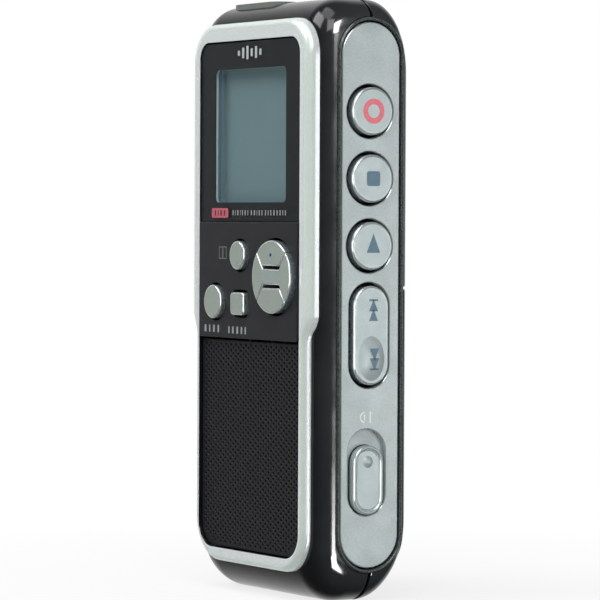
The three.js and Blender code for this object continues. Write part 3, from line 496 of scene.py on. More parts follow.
class Look:
    """A node material that is built up in steps around one principled shader."""

    def __init__(self, colour, roughness, metallic=0.0):
        self.material = bpy.data.materials.new("look")
        self.material.use_nodes = True
        self.tree = self.material.node_tree
        self.shader = self.tree.nodes["Principled BSDF"]
        self.shader.inputs["Base Color"].default_value = (*colour, 1)
        self.shader.inputs["Roughness"].default_value = roughness
        self.shader.inputs["Metallic"].default_value = metallic
        self.colour = colour
        self.place = new_node(self.tree, "TexCoord").outputs["Object"]

    def link(self, output, socket):
        self.tree.links.new(output, self.shader.inputs[socket])
        return self

    def noise(self, grain, detail=2.0, stretch=(1, 1, 1)):
        """Noise with features of the given size in millimetres."""
        scale = [1 / (grain * MM * s) for s in stretch]
        mapping = new_node(self.tree, "Mapping", {"Vector": self.place, "Scale": scale})
        inputs = {"Vector": mapping.outputs["Vector"], "Scale": 1.0, "Detail": detail}
        return new_node(self.tree, "TexNoise", inputs).outputs["Fac"]

    def between(self, fac, start, end, low_value=0.3, high_value=0.7):
        ends = {"From Min": low_value, "From Max": high_value, "To Min": start, "To Max": end}
        return new_node(self.tree, "MapRange", {"Value": fac, **ends}).outputs["Result"]

    def tone(self, grain, dark, light, stretch=(1, 1, 1)):
        """The colour wanders between dark and light times itself."""
        inputs = {
            "Factor": self.between(self.noise(grain, 3, stretch), 0, 1),
            "A": (*[c * dark for c in self.colour], 1),
            "B": (*[min(1, c * light) for c in self.colour], 1),
        }
        mix = new_node(self.tree, "Mix", inputs, data_type="RGBA")
        return self.link(mix.outputs["Result"], "Base Color")

    def gloss(self, grain, smooth, rough, stretch=(1, 1, 1)):
        return self.link(self.between(self.noise(grain, 3, stretch), smooth, rough), "Roughness")

    def bump(self, grain, depth, detail=2.0, stretch=(1, 1, 1)):
        """Relief of the given depth in millimetres. A second call adds to the first."""
        inputs = {"Distance": depth * MM, "Strength": 1.0, "Height": self.noise(grain, detail, stretch)}
        if self.shader.inputs["Normal"].is_linked:
            inputs["Normal"] = self.shader.inputs["Normal"].links[0].from_socket
        return self.link(new_node(self.tree, "Bump", inputs).outputs["Normal"], "Normal")

    def show(self, shader):
        """Another shader in place of the principled one."""
        self.tree.links.new(shader.outputs[0], self.tree.nodes["Material Output"].inputs["Surface"])
        return self

    def named(self, name):
        self.material.name = name
        return self.material


def case_black():
    look = Look((0.0065, 0.007, 0.0075), 0.14)
    return look.tone(9, 0.85, 1.25).gloss(6, 0.10, 0.17).bump(1.6, 0.0012).bump(0.12, 0.0004)


def bezel_silver():
    look = Look((0.74, 0.82, 0.765), 0.38, 0.25)
    return look.tone(0.22, 0.93, 1.05).gloss(3, 0.30, 0.40).bump(0.16, 0.0012)


# Lighter and bluer than the bezel silver: painted highlight on the bezel's foot and its lip.
def bezel_rim_highlight():
    return Look((0.88, 0.93, 0.92), 0.25, 0.35).tone(0.3, 0.92, 1.05).gloss(2, 0.16, 0.28).bump(0.2, 0.0008)


def panel_black():
    return Look((0.017, 0.0175, 0.020), 0.42).tone(5, 0.94, 1.08).gloss(4, 0.38, 0.46).bump(0.35, 0.0006)


def grille_black():
    look = Look((0.014, 0.015, 0.017), 0.5, 0.2)
    return look.tone(0.3, 0.85, 1.2).gloss(2, 0.42, 0.55).bump(0.12, 0.0014)


def cloth_black():
    look = Look((0.004, 0.004, 0.0045), 0.95)
    return look.tone(0.12, 0.6, 1.5).bump(0.1, 0.02, stretch=(1, 1, 3)).bump(0.1, 0.02, stretch=(3, 1, 1))


def key_silver():
    look = Look((0.32, 0.37, 0.33), 0.40, 0.4)
    return look.tone(0.25, 0.92, 1.08).gloss(1.5, 0.34, 0.44).bump(0.15, 0.0012)


# Lighter than the key silver: a polished edge, made brighter still as painted highlight on the rims of keys,
# the side plate and the hold slider.
def polished_rim_and_highlight():
    look = Look((0.66, 0.71, 0.70), 0.24, 0.7)
    return look.tone(0.3, 0.9, 1.05).gloss(1.5, 0.14, 0.26).bump(0.15, 0.0006)


# Darker and bluer than the key silver: painted shade on the keys' side walls.
def key_wall_shade():
    return Look((0.20, 0.24, 0.25), 0.30, 0.6).tone(0.4, 0.85, 1.1).gloss(1.5, 0.22, 0.36).bump(0.2, 0.0010)


def plate_silver():
    look = Look((0.47, 0.53, 0.525), 0.42, 0.55)
    return look.tone(0.20, 0.88, 1.10).gloss(4, 0.34, 0.44).bump(0.14, 0.0016)


def side_key_silver():
    look = Look((0.495, 0.565, 0.565), 0.42, 0.55)
    return look.tone(0.22, 0.92, 1.07).gloss(2, 0.34, 0.44).bump(0.15, 0.0012)


# Much darker than the plate's silver: painted shade standing for the silver seen at a grazing angle; the
# speckle is random tone.
def ring_silver():
    look = Look((0.132, 0.156, 0.153), 0.34, 0.7)
    return look.tone(0.28, 0.45, 1.5).gloss(1.2, 0.2, 0.4).bump(0.25, 0.006)


def jack_grey():
    return Look((0.17, 0.185, 0.17), 0.45).tone(3, 0.92, 1.08).gloss(2, 0.4, 0.5).bump(0.25, 0.002)


def white_plastic():
    return Look((0.62, 0.66, 0.66), 0.5).tone(4, 0.93, 1.05).gloss(2, 0.45, 0.55).bump(0.3, 0.002)


def screen():
    return Look((0.185, 0.27, 0.29), 0.5).tone(0.22, 0.96, 1.04).gloss(0.4, 0.46, 0.54).bump(0.25, 0.0003)


def ink(colour):
    return Look(colour, 0.5).tone(0.3, 0.9, 1.08).gloss(1, 0.45, 0.55).bump(0.15, 0.001)


def rubber_grey():
    return Look((0.045, 0.048, 0.052), 0.8).tone(1.5, 0.85, 1.15).gloss(1, 0.7, 0.9).bump(0.2, 0.004)


def steel():
    look = Look((0.55, 0.55, 0.54), 0.28, 1.0)
    return look.tone(0.6, 0.85, 1.08).gloss(0.4, 0.2, 0.36, (6, 1, 1)).bump(0.2, 0.0015, stretch=(6, 1, 1))


def paper_cone():
    return Look((0.02, 0.018, 0.015), 0.9).tone(0.6, 0.7, 1.4).gloss(1, 0.85, 0.95).bump(0.25, 0.02, 4)


def board_green():
    look = Look((0.015, 0.10, 0.038), 0.4)
    return look.tone(1.2, 0.8, 1.25, (1, 1, 4)).gloss(1, 0.3, 0.5).bump(0.5, 0.01, stretch=(1, 1, 3))


def chip_black():
    return Look((0.014, 0.014, 0.015), 0.55).tone(0.4, 0.8, 1.3).gloss(0.8, 0.5, 0.65).bump(0.15, 0.003)


def capacitor_blue():
    look = Look((0.20, 0.26, 0.33), 0.3, 0.7)
    return look.tone(0.5, 0.9, 1.1).gloss(0.5, 0.2, 0.4, (1, 1, 5)).bump(0.3, 0.001)


def cell_jacket():
    look = Look((0.045, 0.075, 0.115), 0.32, 0.4)
    return look.tone(5, 0.8, 1.25, (1, 1, 3)).gloss(2, 0.25, 0.4).bump(0.4, 0.001)


def lens_clear():
    """Clear enough to let all light through, with a plain mirror image on top."""
    look = Look((0.9, 0.93, 0.94), 0.04)
    tree = look.tree
    clear = new_node(tree, "BsdfTransparent", {"Color": (0.93, 0.95, 0.95, 1)})
    polish = look.between(look.noise(8), 0.03, 0.07)
    shine = new_node(tree, "BsdfGlossy", {"Color": (0.9, 0.9, 0.9, 1), "Roughness": polish})
    fresnel = new_node(tree, "Fresnel", {"IOR": 1.35}).outputs["Fac"]
    outside = calculated(tree, "SUBTRACT", 1.0, new_node(tree, "NewGeometry").outputs["Backfacing"])
    return look.show(mixed(tree, calculated(tree, "MULTIPLY", fresnel, outside), clear, shine))


MAKERS = (
    case_black, bezel_silver, bezel_rim_highlight, panel_black, lens_clear, screen, grille_black, plate_silver,
    ring_silver, key_silver, polished_rim_and_highlight, key_wall_shade, side_key_silver, jack_grey, white_plastic, rubber_grey,
    cloth_black, steel, paper_cone, board_green, chip_black, capacitor_blue, cell_jacket)
LOOKS = {make.__name__: make().named(make.__name__) for make in MAKERS}
LOOKS |= {name: ink(colour).named(name) for name, colour in INKS.items()}


def dress_cad_nodes():
    """Gives every CAD node the material of its slot, for the nodes that stay visible."""
    for node, slot in SLOTS.items():
        materials = frame["nodes"][node].data.materials
        materials.clear()
        materials.append(LOOKS[slot])


def rim_faces(piece, material, face, lowest, highest, steepest=0.97):
    """Gives the sloping faces between two heights above a face another material."""
    piece.data.materials.append(LOOKS[material])
    out = face.axes[2]
    for polygon in piece.data.polygons:
        centre = face.of(polygon.center / MM)[2]
        if lowest <= centre <= highest and abs(polygon.normal.dot(out)) < steepest:
            polygon.material_index = len(piece.data.materials) - 1


# ---------- case ----------

def falloff(fraction, power):
    """How far a rounded edge has fallen away, from 0 at its start to 1 at its end."""
    t = min(1, max(0, fraction))
    return 1 - (1 - t ** power) ** (1 / power)


def end_height(end, depth):
    front = end["front_drop"] * falloff((FLAT_FROM - depth) / (FLAT_FROM - CASE_FRONT), end["front_power"])
    back = end["back_drop"] * falloff((depth - FLAT_TO) / (DEPTH - FLAT_TO), end["back_power"])
    return MIDDLE - front - back


def case_limits(depth, inset=0.0):
    """Half width, top, bottom and the two corner radii of the case at a depth behind the panel plane."""
    shrink = FRONT_ROUND * falloff(1 - (depth - CASE_FRONT) / FRONT_ROUND, 2)
    shrink += BACK_ROUND * falloff(1 - (DEPTH - depth) / BACK_ROUND, 2)
    top = end_height(TOP_END, depth) - inset
    bottom = end_height(BOTTOM_END, depth) - inset
    radii = [max(0.5, end["corner"] - shrink - inset) for end in (TOP_END, BOTTOM_END)]
    return HALF_WIDTH - shrink - inset, top, bottom, radii[0], radii[1]


def case_ring(depth, inset=0.0, shown_depth=None, part="whole"):
    """A section of the case, or only its part above the battery door, or the part that is the door."""
    half, top, bottom, top_radius, bottom_radius = case_limits(depth, inset)
    foot = -bottom
    if part == "above_door":
        foot, bottom_radius = DOOR_TOP + inset, DOOR_CORNER
    elif part == "door":
        top, top_radius = DOOR_TOP - DOOR_GAP - inset, DOOR_CORNER
    points = rounded(-half, half, foot, top, bottom_radius, top_radius, FINE_ARC)
    z = -(depth if shown_depth is None else shown_depth)
    return [FRONT.at(x, y, z) for x, y in points]


def front_depths(steps):
    """Depths from the front face to the flat of the ends, closer together where the case curves."""
    span = FLAT_FROM - CASE_FRONT
    return [CASE_FRONT + span * (1 - math.cos(QUARTER * i / steps)) for i in range(steps + 1)]


def back_depths(start, steps):
    """Depths from start to the back face, closer together towards the back."""
    first = math.asin(max(0, (start - FLAT_TO) / (DEPTH - FLAT_TO)))
    angles = [first + (QUARTER - first) * i / steps for i in range(steps + 1)]
    return [FLAT_TO + (DEPTH - FLAT_TO) * math.sin(angle) for angle in angles]


def side_surface(x, y):
    """How far the case's side surface lies inside its widest plane, at a place on the side face."""
    half, top, bottom, top_radius, bottom_radius = case_limits(x - PLANE)
    over = max(y - (top - top_radius), 0)
    under = max(-y - (bottom - bottom_radius), 0)
    radius, beyond = (top_radius, over) if over > 0 else (bottom_radius, under)
    beyond = min(beyond, radius)
    return half - HALF_WIDTH - radius + math.sqrt(radius ** 2 - beyond ** 2)


def side_opening():
    x, y, width, height, _ = SIDE.spot("side_ring", -SIDE_PLAY)
    return cap("opening", SIDE, stadium(x, y, width, height), [(0, -6), (0, 4)])


def opening_ring(depth):
    """The edge of the case's front opening, under the bezel, with as many points as a case ring."""
    lowest, highest = FRONT.box("speaker_grille")
    top = FRONT.box("display_lens")[1].y
    points = rounded(lowest.x + OPENING_COVER, highest.x - OPENING_COVER, lowest.y + OPENING_COVER,
                     top - OPENING_COVER, OPENING_BOTTOM_RADIUS, OPENING_TOP_RADIUS, FINE_ARC)
    return [FRONT.at(x, y, -depth) for x, y in points]


def front_shell():
    rim = SEAM_DEPTH - SEAM_HALF_GAP
    rings = [opening_ring(CASE_FRONT + WALL), opening_ring(CASE_FRONT)]
    rings += [case_ring(depth) for depth in front_depths(16)]
    rings += [case_ring(rim - SEAM_EDGE), case_ring(rim, SEAM_EDGE * 0.3, rim - SEAM_EDGE * 0.3)]
    rings += [case_ring(rim, SEAM_EDGE), case_ring(rim, WALL)]
    inside = reversed(front_depths(8)[2:])
    rings += [case_ring(depth, WALL, max(depth, CASE_FRONT + WALL)) for depth in inside]
    shell = lofted("front_shell_skin", rings, closed=True)
    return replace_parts(belong(cut(shell, [side_opening()]), "front_shell"), "front_shell")


def rear_shell():
    near = SEAM_DEPTH + SEAM_HALF_GAP
    rings = [case_ring(DOOR_DEPTH - WALL, WALL), case_ring(near, WALL)]
    rings += [case_ring(near, SEAM_EDGE), case_ring(near, SEAM_EDGE * 0.3, near + SEAM_EDGE * 0.3)]
    rings += [case_ring(near + SEAM_EDGE)]
    rings += [case_ring(depth) for depth in back_depths(FLAT_TO + 0.01, 16) if depth < DOOR_DEPTH - 0.2]
    rings += [case_ring(DOOR_DEPTH), case_ring(DOOR_DEPTH, 0.3)]
    rings += [case_ring(depth, part="above_door") for depth in (DOOR_DEPTH, DOOR_DEPTH + 0.01)]
    rings += [case_ring(depth, part="above_door") for depth in back_depths(DOOR_DEPTH + 0.02, 10)]
    tools = [side_opening()] + [screw_well(node) for node in ("case_screw_1", "case_screw_2")]
    shell = cut(lofted("rear_shell_skin", rings), tools)
    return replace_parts(belong(shell, "rear_shell"), "rear_shell")


def screw_well(node):
    x, y, width, _, top = REAR.spot(node, -WELL_PLAY)
    return turned("well", REAR, [(width / 2, top - WELL_DEPTH), (width / 2, 4)], x, y)


def battery_door():
    near = DOOR_DEPTH + DOOR_GAP
    rings = [case_ring(near, DOOR_EDGE, part="door"), case_ring(near, 0.02, near + DOOR_EDGE * 0.6, "door")]
    rings += [case_ring(depth, part="door") for depth in back_depths(near + DOOR_EDGE, 10)]
    door = lofted("battery_door_skin", rings)
    grips = [stadium(0, -6 - GRIP_PITCH * row, 12, 0.8, 6) for row in range(GRIPS)]
    cut(door, [cap("groove", REAR, grip, [(0, -GRIP_DEPTH), (-0.12, 1)]) for grip in grips])
    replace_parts(belong(door, "battery_door"), "battery_door")


# ---------- bezel ----------

def bezel_points(part):
    """Outline of the bezel after part of its rounded edge: 0 is the foot, 1 is the face."""
    lowest, highest = FRONT.box("front_bezel")
    wide = highest.x - WIDE_ROUND * part
    narrow = highest.x - BEZEL_NARROWER - NARROW_ROUND * part
    top = highest.y - END_ROUND * part
    bottom = lowest.y + END_ROUND * part
    rise = BEZEL_STEP_HIGH - BEZEL_STEP_LOW
    return leg_outline(
        lambda y: narrow + (wide - narrow) * smooth((y - BEZEL_STEP_LOW) / rise),
        narrow, wide, bottom, top, BEZEL_BOTTOM_RADIUS, BEZEL_TOP_RADIUS)


def smooth(t):
    t = min(1, max(0, t))
    return t * t * (3 - 2 * t)


def leg_outline(half_at, low_half, high_half, bottom, top, bottom_radius, top_radius):
    """A rounded rectangle whose sides follow half_at(y), with the same number of points for any sizes."""
    heights = spread(bottom + bottom_radius, BEZEL_STEP_LOW - 0.4, 6)[1:]
    heights += spread(BEZEL_STEP_LOW - 0.3, BEZEL_STEP_HIGH + 0.3, 22)
    heights += spread(BEZEL_STEP_HIGH + 0.4, top - top_radius, 6)[:-1]
    right = arc(low_half - bottom_radius, bottom + bottom_radius, bottom_radius, -QUARTER, 0, FINE_ARC)
    right += [(half_at(y), y) for y in heights]
    right += arc(high_half - top_radius, top - top_radius, top_radius, 0, QUARTER, FINE_ARC)
    return right + [(-x, y) for x, y in reversed(right)]


def spread(start, end, parts):
    return [start + (end - start) * i / parts for i in range(parts + 1)]


def opening_points(grow):
    lowest, highest = FRONT.box("speaker_grille")
    top = FRONT.box("display_lens")[1].y
    half = highest.x + grow
    return leg_outline(lambda y: half, half, half, lowest.y - grow, top + grow,
                       OPENING_BOTTOM_RADIUS + grow, OPENING_TOP_RADIUS + grow)


def front_bezel():
    face = FRONT.box("front_bezel")[1].z
    rings = [[FRONT.at(x, y, BEZEL_FOOT) for x, y in bezel_points(0.12)]]
    rings.append([FRONT.at(x, y, BEZEL_FOOT + 0.12) for x, y in bezel_points(0)])
    steps = 12
    for step in range(steps + 1):
        angle = QUARTER * step / steps
        height = face - BEZEL_ROUND * (1 - math.sin(angle))
        rings.append([FRONT.at(x, y, height) for x, y in bezel_points(1 - math.cos(angle))])
    lip = [(0.34, face), (0.10, face - 0.06), (0, face - 0.2), (0, -CASE_FRONT)]
    rings += [[FRONT.at(x, y, height) for x, y in opening_points(LIP_PLAY + grow)] for grow, height in lip]
    rings.append([FRONT.at(x, y, BEZEL_FOOT + 0.3) for x, y in opening_points(0.9)])
    bezel = lofted("bezel_skin", rings, "front_bezel", closed=True, sharp=35)
    count = len(rings[0])
    # The foot, the lower wall and the lip get the lighter rim colour as painted highlight.
    paint_rings(bezel, count, range(0, 4), "bezel_rim_highlight")
    paint_rings(bezel, count, range(steps + 2, steps + 4), "bezel_rim_highlight")
    # The lip's inner wall and the underside take the case black as painted shade in the crevice beside the
    # display.
    paint_rings(bezel, count, range(steps + 4, len(rings)), "case_black")
    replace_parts(bezel, "front_bezel")


def paint_rings(piece, count, levels, material):
    """Another material for the bands of faces that start at the given rings of a loft."""
    piece.data.materials.append(LOOKS[material])
    for polygon in piece.data.polygons:
        levels_here = {vertex // count for vertex in polygon.vertices}
        if min(levels_here) in levels and max(levels_here) - min(levels_here) <= 1:
            polygon.material_index = len(piece.data.materials) - 1


# ---------- display ----------

def lens_outline():
    lowest, highest = FRONT.box("display_lens")
    return lambda inset: rounded(
        lowest.x + inset, highest.x - inset, lowest.y - LENS_LONGER + inset, highest.y - inset,
        0.3, OPENING_TOP_RADIUS - 0.2 - inset)


def window_outline(grow=0.0):
    y = FRONT.spot("lcd_frame")[1]
    return rounded_box(0, y + 0.15, SCREEN_WIDTH + grow, SCREEN_HEIGHT + grow, SCREEN_CORNER)


def frame_wall():
    """The pale frame around the screen, stepped like the edge of a stack of films, with painted highlight and
    painted shade bands on its steps.
    """
    top = -LENS_THICK - MASK_THICK - 0.05
    steps = [(0.0, FRAME_FOOT), (0.0, -1.7), (0.12, -1.65), (0.12, -0.95), (0.3, -0.9), (0.3, top)]
    steps += [(1.2, top), (1.2, FRAME_FOOT)]
    rings = [[FRONT.at(x, y, z) for x, y in window_outline(2 * grow)(0)] for grow, z in steps]
    wall = lofted("screen_surround", rings, "lcd_glass", closed=True)
    # Painted highlight on the steps near the front, painted shade on the step below them.
    paint_rings(wall, len(rings[0]), [3, 4], "bezel_silver")
    paint_rings(wall, len(rings[0]), [2], "print_blue")


def display():
    face = FRONT.box("display_lens")[1].z
    profile = [(0, face - LENS_THICK), (0, face - 0.12), (0.04, face - 0.03), (0.14, face)]
    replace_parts(cap("display_window", FRONT, lens_outline(), profile, "display_lens"), "display_lens")
    profile = [(0, -LENS_THICK - MASK_THICK), (0, -LENS_THICK - 0.01)]
    mask = panel("display_mask", FRONT, [lens_outline(), window_outline()], profile, "lens_mask")
    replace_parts(mask, "lens_mask")
    _, y, width, height, _ = FRONT.spot("lcd_glass")
    profile = [(0, FRONT.box("lcd_glass")[0].z), (0, FRAME_FOOT), (0.1, FRAME_FOOT + 0.1)]
    glass = cap("screen_glass", FRONT, rounded_box(0.75, y, width, height, 0.4), profile, "lcd_glass")
    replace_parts(glass, "lcd_glass")
    frame_wall()


# ---------- front keys and panels ----------


def key_profile(foot, top, edge):
    """A straight wall, a rounded edge and a face that dips very slightly."""
    bend = [(edge - x, top - edge + y) for x, y in reversed(arc(0, 0, edge, QUARTER, 0, 5))]
    dip = [(edge + 0.35, top - 0.01), (edge + 0.9, top - 0.04)]
    return [(0.1, foot), (0.0, top - 2.2 * edge)] + bend + dip


def key_cap(node, face, outline, profile, top, edge, sharp=32):
    """A key whose wall is darker as painted shade and whose polished rim is lighter as painted highlight."""
    key = cap(node + "_cap", face, outline, profile, node, sharp=sharp)
    rim_faces(key, "key_wall_shade", face, profile[0][1], top - 0.9 * edge, 0.5)
    rim_faces(key, "polished_rim_and_highlight", face, top - edge, top - 0.02 * edge, 0.995)
    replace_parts(key, node)


def small_front_keys():
    for node in ("bookmark_button", "menu_button", "erase_button"):
        x, y, width, height, top = FRONT.spot(node, KEY_FLANGE)
        outline = disc(x, y, width / 2)
        if node == "erase_button":
            outline = rounded_box(x, y, width, height, 0.8, 8)
        key_cap(node, FRONT, outline, key_profile(FRONT_KEY_FOOT, top, FRONT_EDGE), top, FRONT_EDGE)


def wedge_outline(x, y, sign):
    """The upper volume key: a flat foot, two slanted sides and the rim's arc. Sign -1 mirrors it."""
    def outline(inset):
        radius = VOLUME_RADIUS - inset
        base = VOLUME_BASE + inset
        slant = math.hypot(1, VOLUME_SLOPE)
        foot = VOLUME_FLAT - inset * (slant - VOLUME_SLOPE)
        start = rim_crossing(foot, base, radius)
        points = [(foot, base)] + arc(0, 0, radius, start, math.pi - start, 24) + [(-foot, base)]
        return [(x + px, y + sign * py) for px, py in points]
    return outline


def rim_crossing(foot, base, radius):
    """The angle at which the wedge's slanted side meets the rim."""
    m = VOLUME_SLOPE
    # A point (foot + m t, base + t) on the side has length radius.
    a = 1 + m * m
    b = foot * m + base
    c = foot * foot + base * base - radius * radius
    t = (-b + math.sqrt(b * b - a * c)) / a
    return math.atan2(base + t, foot + m * t)


def hourglass_outline(x, y):
    """The middle key: what the two volume keys leave, less a gap."""
    def outline(inset):
        radius = VOLUME_RADIUS - inset
        base = VOLUME_BASE - VOLUME_GAP - inset
        slant = math.hypot(1, VOLUME_SLOPE)
        foot = VOLUME_FLAT + (VOLUME_SIDE_GAP + inset) * slant - (VOLUME_GAP + inset) * VOLUME_SLOPE
        start = rim_crossing(foot, base, radius)
        right = [(foot, -base)] + arc(0, 0, radius, -start, start, 24) + [(foot, base)]
        return [(x + px, y + py) for px, py in right + [(-px, -py) for px, py in right]]
    return outline


def volume_keys():
    x, y, _, _, top = FRONT.spot("center_key")
    shapes = {
        "volume_up_key": wedge_outline(x, y, 1),
        "center_key": hourglass_outline(x, y),
        "volume_down_key": wedge_outline(x, y, -1),
    }
    profile = key_profile(FRONT_KEY_FOOT, top, VOLUME_EDGE)[:-1]
    for node, outline in shapes.items():
        key_cap(node, FRONT, outline, profile, top, VOLUME_EDGE, sharp=40)


def control_panel():
    lowest, highest = FRONT.box("control_panel")
    outlines = [lambda inset: rounded(
        lowest.x + inset, highest.x - inset, lowest.y + inset, highest.y - inset, 0.3, 0.3)]
    for node in ("bookmark_button", "menu_button"):
        x, y, width, _, _ = FRONT.spot(node, KEY_FLANGE)
        outlines.append(disc(x, y, width / 2 + FRONT_KEY_GAP))
    x, y, width, height, _ = FRONT.spot("erase_button", KEY_FLANGE)
    outlines.append(rounded_box(x, y, width + 2 * FRONT_KEY_GAP, height + 2 * FRONT_KEY_GAP, 1.1, 8))
    x, y, _, _, _ = FRONT.spot("center_key")
    outlines.append(disc(x, y, VOLUME_RADIUS + FRONT_KEY_GAP))
    profile = [(0, lowest.z), (0, highest.z - 0.15), (0.05, highest.z - 0.04), (0.15, highest.z)]
    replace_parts(panel("control_face", FRONT, outlines, profile, "control_panel"), "control_panel")


def grille_holes(lowest, highest):
    """Centres of the fine perforation: rows a half pitch apart, clear of the rounded rim."""
    holes = []
    rows = int((highest.y - lowest.y) / (GRILLE_PITCH_Y / 2))
    columns = int((highest.x - lowest.x) / GRILLE_PITCH_X)
    rim = rounded(lowest.x + GRILLE_MARGIN, highest.x - GRILLE_MARGIN, lowest.y + GRILLE_MARGIN,
                  highest.y - GRILLE_MARGIN, OPENING_BOTTOM_RADIUS - GRILLE_MARGIN, 0.3)
    for row in range(rows):
        for column in range(columns + 1):
            x = (column - columns / 2 + 0.5 * (row % 2)) * GRILLE_PITCH_X
            y = lowest.y + (row + 0.5) * GRILLE_PITCH_Y / 2
            if contains(rim, (x, y)):
                holes.append((x, y))
    return holes


def speaker_grille():
    lowest, highest = FRONT.box("speaker_grille")
    outlines = [lambda inset: rounded(
        lowest.x + inset, highest.x - inset, lowest.y + inset, highest.y - inset,
        OPENING_BOTTOM_RADIUS - inset, 0.3)]
    outlines += [disc(x, y, GRILLE_HOLE, GRILLE_HOLE_SIDES) for x, y in grille_holes(lowest, highest)]
    profile = [(0, highest.z - 0.5), (0, highest.z - 0.06), (0.05, highest.z)]
    grille = panel("grille_sheet", FRONT, outlines, profile, "speaker_grille", sharp=50)
    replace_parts(grille, "speaker_grille")


# ---------- side strip ----------


def side_strip():
    x, y, width, height, _ = SIDE.spot("side_plate")
    outlines = [stadium(x, y, width, height)]
    for node in ("record_button", "stop_button", "play_button"):
        x, y, width, _, _ = SIDE.spot(node, SIDE_KEY_FLANGE)
        outlines.append(disc(x, y, width / 2 + SIDE_KEY_GAP))
    x, y, width, height, _ = SIDE.spot("skip_rocker", ROCKER_FLANGE)
    outlines.append(stadium(x, y, width + 2 * SIDE_KEY_GAP, height + 1.2))
    x, y = hold_centre()
    outlines.append(stadium(x, y, HOLD_WIDTH, HOLD_LENGTH))
    profile = [(0, -WALL), (0, -0.2), (0.06, -0.05), (0.2, 0.03)]
    plate = panel("side_plate_skin", SIDE, outlines, profile, "side_plate", lift=side_surface, spacing=1.2)
    # The plate's edge takes the lighter rim colour as painted highlight.
    rim_faces(plate, "polished_rim_and_highlight", SIDE, -0.19, 0.02)
    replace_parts(plate, "side_plate")
    outlines = [stadium(x, y, HOLD_WIDTH + 0.1, HOLD_LENGTH + 0.1), rounded_box(x, y, 2.8, 5.2, 0.3)]
    panel("hold_recess", SIDE, outlines, [(0, -1.35), (0, -0.9)], "side_plate")


def hold_centre():
    """Middle of the hold slider's recess: the slider rests at its lower stop."""
    x, y, _, _, _ = SIDE.spot("hold_slider")
    return x, y + HOLD_TRAVEL / 2 + 0.1


def side_ring():
    x, y, width, height, proud = SIDE.spot("side_ring")
    outline = stadium(x, y, width, height, 28)
    wall = (width - SIDE.spot("side_plate")[2]) / 2 - RING_PLAY
    profile = [(0.05, -1.9), (0.0, -0.1)]
    angles = [math.pi * i / 10 for i in range(1, 10)]
    profile += [(wall / 2 * (1 - math.cos(a)), proud * math.sin(a)) for a in angles]
    profile += [(wall, -0.1), (wall, -1.9)]
    rings = [[SIDE.at(px, py, z + side_surface(px, py)) for px, py in subdivide(outline(inset), 1.5)]
             for inset, z in profile]
    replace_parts(lofted("side_ring_skin", rings, "side_ring", closed=True), "side_ring")


def subdivide(points, step):
    """Adds points on the two straight sides of a stadium so that it can bend."""
    result = []
    for (x1, y1), (x2, y2) in zip(points, points[1:] + points[:1]):
        count = STRAIGHT_PARTS if math.dist((x1, y1), (x2, y2)) > 10 * step else 1
        result += [(x1 + (x2 - x1) * i / count, y1 + (y2 - y1) * i / count) for i in range(count)]
    return result


def transport_keys():
    for node in ("record_button", "stop_button", "play_button"):
        x, y, width, _, top = SIDE.spot(node, SIDE_KEY_FLANGE)
        key_cap(node, SIDE, disc(x, y, width / 2), key_profile(SIDE_KEY_FOOT, top, SIDE_EDGE), top, SIDE_EDGE)


def skip_rocker():
    x, y, width, height, _ = SIDE.spot("skip_rocker", ROCKER_FLANGE)
    profile = key_profile(SIDE_KEY_FOOT, ROCKER_TOP, SIDE_EDGE)
    key_cap("skip_rocker", SIDE, stadium(x, y, width, height), profile, ROCKER_TOP, SIDE_EDGE)
    foot = ROCKER_TOP - 0.1
    dome = [(BUMP_WIDTH / 2 * i / 12, foot + BUMP_RISE * math.sin(QUARTER * i / 12)) for i in range(12)]
    cap("skip_bump", SIDE, oval(x, y - BUMP_DROP, BUMP_WIDTH, BUMP_LENGTH), dome, "skip_rocker", sharp=60)


def oval(x, y, width, length, count=64):
    def outline(inset):
        part = 1 - 2 * inset / width
        angles = [2 * math.pi * i / count for i in range(count)]
        return [(x + part * width / 2 * math.cos(a), y + part * length / 2 * math.sin(a)) for a in angles]
    return outline


def hold_slider():
    x, y, width, height, reach = SIDE.spot("hold_slider")
    top = reach - HOLD_BUMP_RISE
    # A black plate under the slider's edge: painted shade standing for the shadow in the slot around the
    # slider.
    slot_shade = stadium(x, y, width + 0.2, height + 0.2)
    cap("hold_slot_shade", SIDE, slot_shade, [(0, -0.85), (0, -0.72), (0.1, -0.66)], "hold_slider", "case_black")
    angles = [math.pi * i / 12 for i in range(1, 12)]
    profile = [(0.05, -0.7), (0.0, top - 0.75)]
    profile += [(HOLD_RIM / 2 * (1 - math.cos(a)), top - 0.45 + 0.45 * math.sin(a)) for a in angles]
    profile += [(HOLD_RIM, top - 0.42), (HOLD_RIM + 0.12, top - 0.46)]
    profile += [(HOLD_RIM + 0.26, top - 0.34), (HOLD_RIM + 0.7, top - 0.32)]
    slider = cap("hold_slider_cap", SIDE, stadium(x, y, width, height), profile, "hold_slider")
    # The slider's rim takes the lighter rim colour as painted highlight.
    rim_faces(slider, "polished_rim_and_highlight", SIDE, top - 0.4, top - 0.01, 0.995)
    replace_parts(slider, "hold_slider")
    dome = [(1.1 * (1 - i / 8), top - 0.36 + 0.42 * math.sin(QUARTER * i / 8)) for i in range(8)]
    turned("hold_bump", SIDE, dome, x, y + height / 2 - 2.9, "hold_slider")


# ---------- prints ----------

def print_mark(name, face, points, height, node, material):
    """A thin layer of ink with the given outline."""
    rings = [[face.at(x, y, height + extra) for x, y in points] for extra in (-INK_SUNK, INK_PROUD)]
    lofted(name, rings, node, material)


